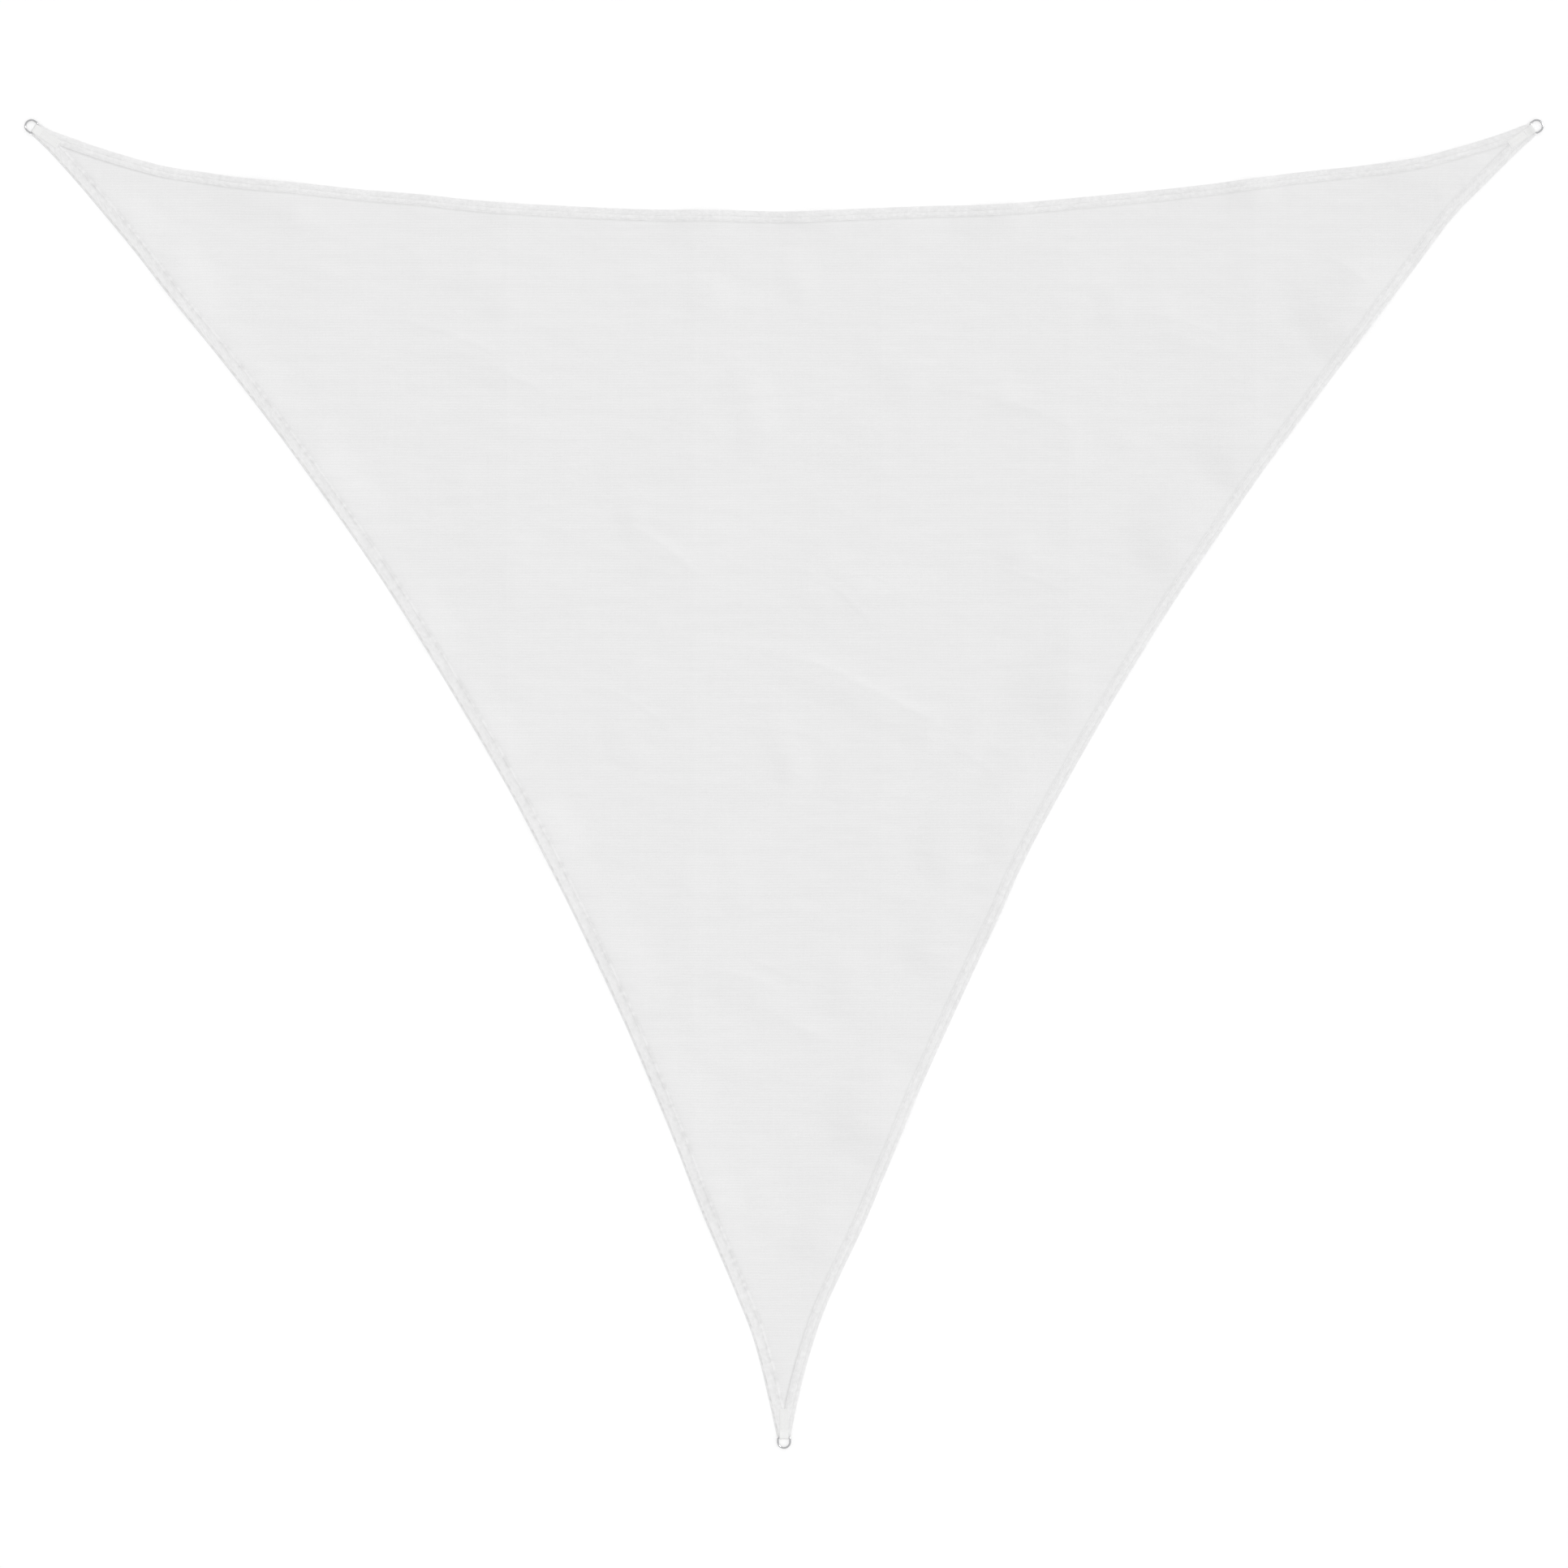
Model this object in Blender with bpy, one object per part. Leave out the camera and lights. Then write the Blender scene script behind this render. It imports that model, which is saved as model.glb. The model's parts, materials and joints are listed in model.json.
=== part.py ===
"""Three-cornered shade sail of knitted cloth, laid out flat, with a steel D-ring at each corner.

Metres, +Z up. The sail lies on z = 0 with its top edge along +X and its lower corner towards -Y.
The origin is on the surface, under the middle of the sail's bounding box.
"""

import math
from collections import namedtuple

import bmesh
import bpy
from mathutils import Vector
from mathutils.geometry import delaunay_2d_cdt, intersect_line_line_2d

# ---- Corners: the middle of each ring's bar, and the way the ring points, in degrees from +X
Corner = namedtuple("Corner", "name x y heading")
CORNERS = (
    Corner("left", x=-2.4593, y=2.1515, heading=145.0),
    Corner("right", x=2.4593, y=2.1515, heading=35.0),
    Corner("bottom", x=0.0, y=-2.1455, heading=270.0),
)

# ---- D-rings of round wire
WIRE = 0.006
RING_INNER_WIDTH = 0.034
RING_INNER_DEPTH = 0.028
RING_CORNER_RADIUS = 0.006
WIRE_SIDES = 12
BOW_STEPS = 15
BEND_STEPS = 3

# ---- Cloth and webbing
CLOTH_THICKNESS = 0.0012
HEM_THICKNESS = 0.0030
HEM_WIDTH = 0.035
HEM_STEP = 0.003
WEBBING_THICKNESS = 0.0015
WEBBING_WIDTH = 0.030
LOOP_LENGTH = 0.095
LOOP_EASE = 0.026
LOOP_STEPS = 10
EASE_STEPS = 6
CLEARANCE = 0.0003
BAR_CLEARANCE = 0.0006

# ---- Corner ends of the cloth: as wide as the ring, just behind its bar, lifted by the webbing
CORNER_END_WIDTH = RING_INNER_WIDTH + 2 * WIRE
CORNER_END_SETBACK = WIRE / 2 + 2 * CLEARANCE
LIFT_FULL = 0.150
LIFT_NONE = 0.200

# ---- Edges, clockwise from above. Each is a bow of this sag, drawn in further by its table.
EDGE_SAG = 0.277
EDGE_STEPS = 60
EDGE_START = 0.013
EDGE_CROWDING = 0.09
Pull = namedtuple("Pull", "share extra")
TOP_EDGE = (
    Pull(share=0.00, extra=-0.012),
    Pull(share=0.02, extra=0.005),
    Pull(share=0.05, extra=0.026),
    Pull(share=0.09, extra=0.043),
    Pull(share=0.11, extra=0.040),
    Pull(share=0.14, extra=0.037),
    Pull(share=0.18, extra=0.024),
    Pull(share=0.22, extra=0.019),
    Pull(share=0.26, extra=0.012),
    Pull(share=0.30, extra=0.014),
    Pull(share=0.36, extra=0.009),
    Pull(share=0.42, extra=0.006),
    Pull(share=0.46, extra=0.001),
    Pull(share=0.50, extra=0.005),
    Pull(share=0.56, extra=-0.003),
    Pull(share=0.60, extra=-0.003),
    Pull(share=0.64, extra=0.003),
    Pull(share=0.69, extra=0.001),
    Pull(share=0.73, extra=0.001),
    Pull(share=0.78, extra=0.003),
    Pull(share=0.84, extra=0.005),
    Pull(share=0.88, extra=0.016),
    Pull(share=0.92, extra=0.024),
    Pull(share=0.95, extra=0.014),
    Pull(share=0.98, extra=-0.002),
    Pull(share=1.00, extra=-0.022),
)
RIGHT_EDGE = (
    Pull(share=0.00, extra=-0.022),
    Pull(share=0.02, extra=-0.011),
    Pull(share=0.05, extra=0.000),
    Pull(share=0.08, extra=0.010),
    Pull(share=0.12, extra=-0.001),
    Pull(share=0.18, extra=-0.009),
    Pull(share=0.24, extra=-0.010),
    Pull(share=0.28, extra=-0.008),
    Pull(share=0.32, extra=-0.008),
    Pull(share=0.36, extra=-0.006),
    Pull(share=0.43, extra=-0.004),
    Pull(share=0.51, extra=-0.005),
    Pull(share=0.59, extra=-0.005),
    Pull(share=0.63, extra=-0.015),
    Pull(share=0.70, extra=-0.019),
    Pull(share=0.76, extra=-0.018),
    Pull(share=0.80, extra=-0.020),
    Pull(share=0.85, extra=-0.015),
    Pull(share=0.88, extra=-0.002),
    Pull(share=0.91, extra=0.010),
    Pull(share=0.94, extra=0.009),
    Pull(share=0.97, extra=-0.001),
    Pull(share=1.00, extra=-0.020),
)
LEFT_EDGE = (
    Pull(share=0.00, extra=-0.020),
    Pull(share=0.03, extra=-0.004),
    Pull(share=0.07, extra=0.011),
    Pull(share=0.10, extra=0.006),
    Pull(share=0.14, extra=-0.003),
    Pull(share=0.17, extra=-0.007),
    Pull(share=0.21, extra=-0.004),
    Pull(share=0.26, extra=-0.001),
    Pull(share=0.32, extra=0.002),
    Pull(share=0.38, extra=0.003),
    Pull(share=0.44, extra=0.005),
    Pull(share=0.50, extra=0.004),
    Pull(share=0.54, extra=0.002),
    Pull(share=0.59, extra=0.002),
    Pull(share=0.66, extra=-0.001),
    Pull(share=0.69, extra=-0.004),
    Pull(share=0.74, extra=-0.008),
    Pull(share=0.79, extra=-0.012),
    Pull(share=0.85, extra=-0.018),
    Pull(share=0.90, extra=-0.013),
    Pull(share=0.94, extra=-0.011),
    Pull(share=0.98, extra=-0.012),
    Pull(share=1.00, extra=-0.022),
)
EDGES = (TOP_EDGE, RIGHT_EDGE, LEFT_EDGE)

# ---- Low folds that the cloth lies in, each with its crest's place and how far it falls away ahead
# and behind: slanting ones, then those beside the right hem, its waves, and the other hems' waves
Fold = namedtuple("Fold", "x y ahead behind width heading rise")
FOLDS = (
    Fold(x=-1.01, y=1.39, ahead=0.40, behind=0.40, width=0.16, heading=-22, rise=0.0020),
    Fold(x=0.24, y=0.29, ahead=0.39, behind=0.39, width=0.18, heading=-24, rise=0.0030),
    Fold(x=1.36, y=1.46, ahead=0.23, behind=0.23, width=0.14, heading=-19, rise=0.0018),
    Fold(x=-0.09, y=-0.70, ahead=0.38, behind=0.38, width=0.18, heading=-31, rise=0.0022),
    Fold(x=-0.41, y=0.76, ahead=0.23, behind=0.23, width=0.14, heading=-37, rise=0.0016),
    Fold(x=0.17, y=0.72, ahead=0.21, behind=0.21, width=0.14, heading=-51, rise=0.0016),
    Fold(x=0.69, y=1.30, ahead=0.34, behind=0.34, width=0.16, heading=-23, rise=0.0018),
    Fold(x=0.81, y=0.74, ahead=0.27, behind=0.27, width=0.14, heading=-24, rise=0.0016),
    Fold(x=2.27, y=2.00, ahead=0.12, behind=0.62, width=0.50, heading=35, rise=0.0040),
    Fold(x=1.83, y=1.54, ahead=0.30, behind=0.16, width=0.40, heading=40, rise=0.0100),
    Fold(x=1.47, y=1.10, ahead=0.26, behind=0.14, width=0.34, heading=44, rise=0.0066),
    Fold(x=1.28, y=0.81, ahead=0.26, behind=0.16, width=0.36, heading=46, rise=0.0092),
    Fold(x=0.91, y=0.31, ahead=0.30, behind=0.15, width=0.34, heading=50, rise=0.0072),
    Fold(x=0.71, y=-0.10, ahead=0.30, behind=0.14, width=0.28, heading=52, rise=0.0076),
    Fold(x=0.53, y=-0.20, ahead=0.22, behind=0.13, width=0.26, heading=46, rise=0.0066),
    Fold(x=0.49, y=-0.53, ahead=0.22, behind=0.12, width=0.26, heading=60, rise=0.0050),
    Fold(x=0.27, y=-1.10, ahead=0.22, behind=0.14, width=0.32, heading=58, rise=0.0082),
    Fold(x=0.12, y=-1.49, ahead=0.20, behind=0.12, width=0.22, heading=66, rise=0.0042),
    Fold(x=1.68, y=1.20, ahead=0.24, behind=0.24, width=0.28, heading=53, rise=0.0034),
    Fold(x=1.14, y=0.44, ahead=0.24, behind=0.24, width=0.28, heading=55, rise=0.0034),
    Fold(x=0.70, y=-0.41, ahead=0.22, behind=0.22, width=0.26, heading=63, rise=0.0030),
    Fold(x=0.40, y=-1.12, ahead=0.20, behind=0.20, width=0.24, heading=67, rise=0.0028),
    Fold(x=-2.17, y=1.85, ahead=0.17, behind=0.17, width=0.24, heading=-47, rise=0.0050),
    Fold(x=-1.99, y=1.61, ahead=0.21, behind=0.21, width=0.30, heading=-51, rise=0.0075),
    Fold(x=-1.76, y=1.32, ahead=0.26, behind=0.26, width=0.28, heading=-53, rise=0.0050),
    Fold(x=-1.50, y=0.99, ahead=0.30, behind=0.30, width=0.28, heading=-54, rise=0.0058),
    Fold(x=-1.20, y=0.50, ahead=0.20, behind=0.20, width=0.28, heading=-57, rise=0.0072),
    Fold(x=-1.00, y=0.17, ahead=0.23, behind=0.23, width=0.26, heading=-59, rise=0.0048),
    Fold(x=-0.79, y=-0.19, ahead=0.21, behind=0.21, width=0.30, heading=-61, rise=0.0072),
    Fold(x=-0.56, y=-0.58, ahead=0.26, behind=0.26, width=0.28, heading=-64, rise=0.0058),
    Fold(x=-0.38, y=-0.98, ahead=0.25, behind=0.25, width=0.26, heading=-66, rise=0.0055),
    Fold(x=-0.23, y=-1.40, ahead=0.22, behind=0.22, width=0.24, heading=-69, rise=0.0050),
    Fold(x=-1.72, y=1.98, ahead=0.21, behind=0.21, width=0.34, heading=-7, rise=0.0070),
    Fold(x=-0.93, y=1.93, ahead=0.11, behind=0.11, width=0.22, heading=-4, rise=0.0040),
    Fold(x=-0.28, y=1.90, ahead=0.17, behind=0.17, width=0.30, heading=-1, rise=0.0070),
    Fold(x=-0.24, y=1.60, ahead=0.10, behind=0.10, width=0.18, heading=-8, rise=0.0030),
    Fold(x=0.10, y=1.89, ahead=0.15, behind=0.15, width=0.28, heading=0, rise=0.0060),
    Fold(x=0.70, y=1.91, ahead=0.13, behind=0.13, width=0.28, heading=3, rise=0.0065),
    Fold(x=1.53, y=1.97, ahead=0.10, behind=0.10, width=0.22, heading=7, rise=0.0055),
    Fold(x=2.03, y=2.05, ahead=0.14, behind=0.14, width=0.22, heading=11, rise=0.0045),
)
FOLD_ALONG = (-1.0, -0.5, 0.0, 0.5, 1.0)
FOLD_ACROSS = (-1.0, -0.45, 0.0, 0.45, 1.0)
CALM_FULL = 0.115
CALM_NONE = 0.220

# ---- Points of the cloth inside its hem: the grid's spacing, and how close points may come
GRID = 0.17
GRID_ROW = GRID * math.sqrt(0.75)
FOLD_POINT_GAP = 0.020
GRID_POINT_GAP = 0.070
HEM_POINT_GAP = 0.030

# ---- Mesh settings
SMOOTH_BELOW = math.radians(50)
TRIANGLES_INSIDE = 1
SAME_POINT = 1e-6

# ---- Colours, roughness and metallic
CLOTH_COLOUR = (0.80, 0.80, 0.79, 1.0)
WEBBING_COLOUR = (0.84, 0.84, 0.83, 1.0)
STEEL_COLOUR = (0.62, 0.62, 0.63, 1.0)

# ---- Heights worked out from the sizes above
RING_DEPTH = RING_INNER_DEPTH + WIRE
RING_WIDTH = RING_INNER_WIDTH + WIRE
BAR_HEIGHT = WEBBING_THICKNESS + BAR_CLEARANCE + WIRE / 2
CORNER_LIFT = WEBBING_THICKNESS + CLEARANCE
UPPER_LEG_HEIGHT = CORNER_LIFT + HEM_THICKNESS + CLEARANCE + WEBBING_THICKNESS / 2
RING_DIP = math.asin((BAR_HEIGHT - WIRE / 2) / RING_DEPTH)


def clear_scene():
    for item in list(bpy.data.objects):
        bpy.data.objects.remove(item, do_unlink=True)


def material(name, colour, roughness, metallic):
    made = bpy.data.materials.new(name)
    made.use_nodes = True
    shader = made.node_tree.nodes["Principled BSDF"]
    shader.inputs["Base Color"].default_value = colour
    shader.inputs["Roughness"].default_value = roughness
    shader.inputs["Metallic"].default_value = metallic
    return made


def add_object(name, mesh, place=(0.0, 0.0), heading=0.0):
    """One named sub-part, at its place on the surface and turned to its heading."""
    piece = bpy.data.objects.new(name, mesh)
    piece.location = (*place, 0.0)
    piece.rotation_euler = (0.0, 0.0, math.radians(heading))
    bpy.context.scene.collection.objects.link(piece)
    return piece


def finished_mesh(name, body, finish, smooth):
    bmesh.ops.recalc_face_normals(body, faces=body.faces[:])
    mesh = bpy.data.meshes.new(name)
    body.to_mesh(mesh)
    body.free()
    mesh.materials.append(finish)
    if smooth:
        mesh.shade_smooth()
        mesh.set_sharp_from_angle(angle=SMOOTH_BELOW)
    return mesh


# ---- Swept pieces: a section carried through a row of stations (origin, section x, section y)


def sweep(stations, section, closed):
    body = bmesh.new()
    rings = []
    for origin, across, up in stations:
        rings.append([body.verts.new(origin + across * x + up * y) for x, y in section])
    pairs = list(zip(rings, rings[1:]))
    if closed:
        pairs.append((rings[-1], rings[0]))
    for first, second in pairs:
        for corner in range(len(section)):
            after = (corner + 1) % len(section)
            body.faces.new((first[corner], first[after], second[after], second[corner]))
    if not closed:
        body.faces.new(rings[0])
        body.faces.new(rings[-1])
    return body


def arc(centre, radius, start, end, steps):
    """Points on an arc, each with its outward direction. Angles are in degrees."""
    points = []
    for step in range(steps + 1):
        angle = math.radians(start + (end - start) * step / steps)
        outward = Vector((math.cos(angle), math.sin(angle)))
        points.append((Vector(centre) + radius * outward, outward))
    return points


def ring_path():
    """The wire's middle line in the ring's own plane: bar at x = 0, bow towards +X."""
    half = RING_WIDTH / 2
    bend = RING_CORNER_RADIUS
    bow_centre = RING_DEPTH - half
    path = arc((bow_centre, 0.0), half, -90, 90, BOW_STEPS)
    path += arc((bend, half - bend), bend, 90, 180, BEND_STEPS)
    path += arc((bend, bend - half), bend, 180, 270, BEND_STEPS)
    return path


def ring_mesh(finish):
    """The ring with its bar raised in the webbing and its bow dipped to the surface."""
    along = Vector((math.cos(RING_DIP), 0.0, -math.sin(RING_DIP)))
    up = Vector((math.sin(RING_DIP), 0.0, math.cos(RING_DIP)))
    side = Vector((0.0, 1.0, 0.0))
    bar = Vector((0.0, 0.0, BAR_HEIGHT))
    stations = []
    for point, outward in ring_path():
        origin = bar + along * point.x + side * point.y
        stations.append((origin, along * outward.x + side * outward.y, up))
    section = []
    for corner in range(WIRE_SIDES):
        angle = 2 * math.pi * (corner + 0.5) / WIRE_SIDES
        section.append((WIRE / 2 * math.cos(angle), WIRE / 2 * math.sin(angle)))
    return finished_mesh("d_ring", sweep(stations, section, closed=True), finish, smooth=True)


def loop_profile():
    """The webbing's middle line seen from the side: under the cloth, round the bar, and back on top."""
    radius = WIRE / 2 + BAR_CLEARANCE + WEBBING_THICKNESS / 2
    profile = [Vector((-LOOP_LENGTH, WEBBING_THICKNESS / 2))]
    profile += [point for point, _ in arc((0.0, BAR_HEIGHT), radius, -90, 90, LOOP_STEPS)]
    drop = profile[-1].y - UPPER_LEG_HEIGHT
    for step in range(1, EASE_STEPS + 1):
        share = step / EASE_STEPS
        height = UPPER_LEG_HEIGHT + drop * (0.5 + 0.5 * math.cos(math.pi * share))
        profile.append(Vector((-LOOP_EASE * share, height)))
    profile.append(Vector((-LOOP_LENGTH, UPPER_LEG_HEIGHT)))
    return profile


def loop_mesh(finish):
    profile = loop_profile()
    side = Vector((0.0, 1.0, 0.0))
    stations = []
    for index, point in enumerate(profile):
        before = (point - profile[max(index - 1, 0)]).normalized()
        after = (profile[min(index + 1, len(profile) - 1)] - point).normalized()
        onward = (before + after).normalized()
        reach = max(onward.dot(before), onward.dot(after))
        normal = Vector((onward.y, 0.0, -onward.x)) / reach
        stations.append((Vector((point.x, 0.0, point.y)), normal, side))
    half_x = WEBBING_THICKNESS / 2
    half_y = WEBBING_WIDTH / 2
    section = ((-half_x, -half_y), (half_x, -half_y), (half_x, half_y), (-half_x, half_y))
    return finished_mesh("corner_loop", sweep(stations, section, closed=False), finish, smooth=False)


# ---- Cloth: outline, hem lines and folds


def heading_of(corner):
    angle = math.radians(corner.heading)
    return Vector((math.cos(angle), math.sin(angle)))


def corner_frame(corner):
    """The bar's middle, the way the ring points, and the way to its left."""
    heading = heading_of(corner)
    return Vector((corner.x, corner.y)), heading, Vector((-heading.y, heading.x))


def smooth_value(rows, share):
    """The table's second column at this share, on a smooth curve through its rows."""
    last = len(rows) - 2
    here = next((i for i in range(last + 1) if share <= rows[i + 1].share), last)

    def slope(i):
        low, high = rows[max(i - 1, 0)], rows[min(i + 1, len(rows) - 1)]
        return (high.extra - low.extra) / (high.share - low.share)

    start, end = rows[here], rows[here + 1]
    span = end.share - start.share
    t = (share - start.share) / span
    return (
        (2 * t**3 - 3 * t**2 + 1) * start.extra
        + (t**3 - 2 * t**2 + t) * span * slope(here)
        + (3 * t**2 - 2 * t**3) * end.extra
        + (t**3 - t**2) * span * slope(here + 1)
    )


def edge_point(start, end, rows, share):
    """A point of an edge, given the middles of the ring eyes at its ends."""
    chord = end - start
    inward = Vector((chord.y, -chord.x)).normalized()
    draw_in = EDGE_SAG * 4 * share * (1 - share) + smooth_value(rows, share)
    return start + chord * share + inward * draw_in


def eye_middle(corner):
    bar, heading, _ = corner_frame(corner)
    return bar + heading * RING_DEPTH / 2


def corner_ends(corner):
    """The two ends of the cloth's short edge behind the bar, in clockwise order."""
    bar, heading, left = corner_frame(corner)
    middle = bar - heading * CORNER_END_SETBACK
    return middle + left * CORNER_END_WIDTH / 2, middle - left * CORNER_END_WIDTH / 2


def edge_path(number):
    """One edge of the cloth, from one corner's end to the next one's, clockwise."""
    corner, following = CORNERS[number], CORNERS[(number + 1) % len(CORNERS)]
    start, end = eye_middle(corner), eye_middle(following)
    path = [corner_ends(corner)[1]]
    for step in range(EDGE_STEPS + 1):
        even = step / EDGE_STEPS
        crowded = even - EDGE_CROWDING * math.sin(2 * math.pi * even)
        share = EDGE_START + (1 - 2 * EDGE_START) * crowded
        path.append(edge_point(start, end, EDGES[number], share))
    path.append(corner_ends(following)[0])
    return path


def moved_in(path, distance):
    """The path moved to its right, which is inwards, by this distance."""
    moved = []
    for index, point in enumerate(path):
        onward = path[min(index + 1, len(path) - 1)] - path[max(index - 1, 0)]
        moved.append(point + Vector((onward.y, -onward.x)).normalized() * distance)
    return moved


def first_crossing(arriving, leaving):
    """Where the end of one path crosses the start of the next: the place, and a count on each."""
    for back in range(len(arriving) - 1, 0, -1):
        for ahead in range(1, len(leaving)):
            place = intersect_line_line_2d(
                arriving[back - 1], arriving[back], leaving[ahead - 1], leaving[ahead]
            )
            if place is not None:
                return place, back, ahead
    raise ValueError("the hem lines do not meet at a corner")


def hem_line(paths, distance):
    """The closed line that lies this far inside all edges, mitred at the corners."""
    moved = [moved_in(path, distance) for path in paths]
    meets = [first_crossing(moved[number - 1], moved[number]) for number in range(len(moved))]
    line = []
    for number, path in enumerate(moved):
        place, _, first = meets[number]
        _, last, _ = meets[(number + 1) % len(moved)]
        line.append(place)
        line += path[first:last]
    return line


def fold_place(fold, along, across):
    angle = math.radians(fold.heading)
    onward = Vector((math.cos(angle), math.sin(angle)))
    sideways = Vector((-onward.y, onward.x))
    crest = Vector((fold.x, fold.y))
    reach = fold.ahead if along > 0 else fold.behind
    return crest + onward * along * reach + sideways * across * fold.width / 2


def fold_rise(fold, point):
    """A smooth low mound, highest on the fold's middle line and level at its rim."""
    angle = math.radians(fold.heading)
    onward = Vector((math.cos(angle), math.sin(angle)))
    offset = point - Vector((fold.x, fold.y))
    along = offset.dot(onward)
    along /= fold.ahead if along > 0 else fold.behind
    across = offset.dot(Vector((-onward.y, onward.x))) / (fold.width / 2)
    if abs(along) >= 1 or abs(across) >= 1:
        return 0.0
    return fold.rise * (1 - along**2) ** 2 * (1 - across**2) ** 2


def share_between(value, low, high):
    """0 up to low and 1 from high on, straight between."""
    return min(max((value - low) / (high - low), 0.0), 1.0)


def underside(point):
    """The cloth's lower face: lifted by the webbing at a corner, and free to fold away from it."""
    reach = min((point - Vector((corner.x, corner.y))).length for corner in CORNERS)
    lift = CORNER_LIFT * (1 - share_between(reach, LIFT_FULL, LIFT_NONE))
    loose = share_between(reach, CALM_FULL, CALM_NONE)
    return lift + loose * sum(fold_rise(fold, point) for fold in FOLDS)


def depth_inside(line, point):
    """Distance from the point to the closed line, negative outside it."""
    nearest = math.inf
    inside = False
    for start, end in zip(line, line[1:] + line[:1]):
        side = end - start
        share = min(max((point - start).dot(side) / side.length_squared, 0.0), 1.0)
        nearest = min(nearest, (point - start - side * share).length)
        if (start.y > point.y) != (end.y > point.y):
            if point.x < start.x + side.x * (point.y - start.y) / side.y:
                inside = not inside
    return nearest if inside else -nearest


def far_from(others, point, gap):
    return all((point - other).length > gap for other in others)


def inner_points(line):
    """Points inside the hem: rows across each fold, then an even grid between them."""
    kept = []
    for fold in FOLDS:
        for along in FOLD_ALONG:
            for across in FOLD_ACROSS:
                point = fold_place(fold, along, across)
                if depth_inside(line, point) > HEM_POINT_GAP and far_from(kept, point, FOLD_POINT_GAP):
                    kept.append(point)
    fold_points = list(kept)
    rows = math.ceil(max(point.y for point in line) / GRID_ROW)
    columns = math.ceil(max(point.x for point in line) / GRID)
    for row in range(-rows, rows + 1):
        for column in range(-columns, columns + 1):
            shift = GRID / 2 if row % 2 else 0.0
            point = Vector((column * GRID + shift, row * GRID_ROW))
            if depth_inside(line, point) > GRID_POINT_GAP and far_from(fold_points, point, GRID_POINT_GAP):
                kept.append(point)
    return kept


def closed_line_edges(first, count):
    return [(first + step, first + (step + 1) % count) for step in range(count)]


def sail_mesh(finish):
    """The cloth: one sheet, thick at its hem and thin inside, lying in its low folds."""
    paths = [edge_path(number) for number in range(len(CORNERS))]
    outline = [point for path in paths for point in path]
    hem_top = hem_line(paths, HEM_WIDTH)
    hem_foot = hem_line(paths, HEM_WIDTH + HEM_STEP)
    inner = inner_points(hem_foot)
    points = outline + hem_top + hem_foot + inner
    hem_count = len(outline) + len(hem_top)
    thickness = [HEM_THICKNESS] * hem_count + [CLOTH_THICKNESS] * (len(points) - hem_count)
    edges = closed_line_edges(0, len(outline))
    edges += closed_line_edges(len(outline), len(hem_top))
    edges += closed_line_edges(hem_count, len(hem_foot))
    flat, _, triangles, sources, _, _ = delaunay_2d_cdt(
        points, edges, [], TRIANGLES_INSIDE, SAME_POINT
    )

    body = bmesh.new()
    lower = []
    upper = []
    for place, source in zip(flat, sources):
        height = underside(place)
        lower.append(body.verts.new((place.x, place.y, height)))
        upper.append(body.verts.new((place.x, place.y, height + thickness[source[0]])))
    for a, b, c in triangles:
        body.faces.new((upper[a], upper[b], upper[c]))
        body.faces.new((lower[c], lower[b], lower[a]))
    for a, b in closed_line_edges(0, len(outline)):
        body.faces.new((lower[a], lower[b], upper[b], upper[a]))
    return finished_mesh("sail_cloth", body, finish, smooth=False)


def build():
    clear_scene()
    cloth = material("knitted_cloth", CLOTH_COLOUR, roughness=0.9, metallic=0.0)
    webbing = material("webbing", WEBBING_COLOUR, roughness=0.8, metallic=0.0)
    steel = material("polished_steel", STEEL_COLOUR, roughness=0.22, metallic=1.0)
    add_object("sail_cloth", sail_mesh(cloth))
    ring = ring_mesh(steel)
    loop = loop_mesh(webbing)
    for corner in CORNERS:
        place = (corner.x, corner.y)
        add_object(f"ring_{corner.name}", ring, place, corner.heading)
        add_object(f"corner_loop_{corner.name}", loop, place, corner.heading)


build()
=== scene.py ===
"""The looks of a three-cornered shade sail of knitted cloth, laid out flat.

Metres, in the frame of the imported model: the sail lies on z = 0, its top edge runs along +X and its
lower corner points towards -Y. A ring's own place is its bar's middle, with the bow towards +X.
"""

import json
import math
from collections import namedtuple

import bmesh
import bpy
import numpy as np
from mathutils import Matrix, Vector
from mathutils.geometry import delaunay_2d_cdt, intersect_line_line_2d
from mathutils.kdtree import KDTree


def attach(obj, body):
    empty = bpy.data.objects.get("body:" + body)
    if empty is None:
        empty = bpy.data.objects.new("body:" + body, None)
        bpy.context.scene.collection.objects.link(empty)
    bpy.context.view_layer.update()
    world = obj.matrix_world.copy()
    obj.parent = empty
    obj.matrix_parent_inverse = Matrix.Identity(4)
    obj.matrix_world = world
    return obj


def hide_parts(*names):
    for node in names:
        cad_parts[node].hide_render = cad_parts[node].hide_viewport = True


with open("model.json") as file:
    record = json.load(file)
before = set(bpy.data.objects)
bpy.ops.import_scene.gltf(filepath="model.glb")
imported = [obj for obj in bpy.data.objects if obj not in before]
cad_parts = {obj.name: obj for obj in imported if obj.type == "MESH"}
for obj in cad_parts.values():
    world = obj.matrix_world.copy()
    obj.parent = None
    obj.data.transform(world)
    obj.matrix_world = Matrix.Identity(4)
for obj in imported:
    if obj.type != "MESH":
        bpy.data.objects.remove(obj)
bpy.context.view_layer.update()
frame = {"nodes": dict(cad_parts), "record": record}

MM = 0.001
MERGE_DISTANCE = 0.01 * MM

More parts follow.
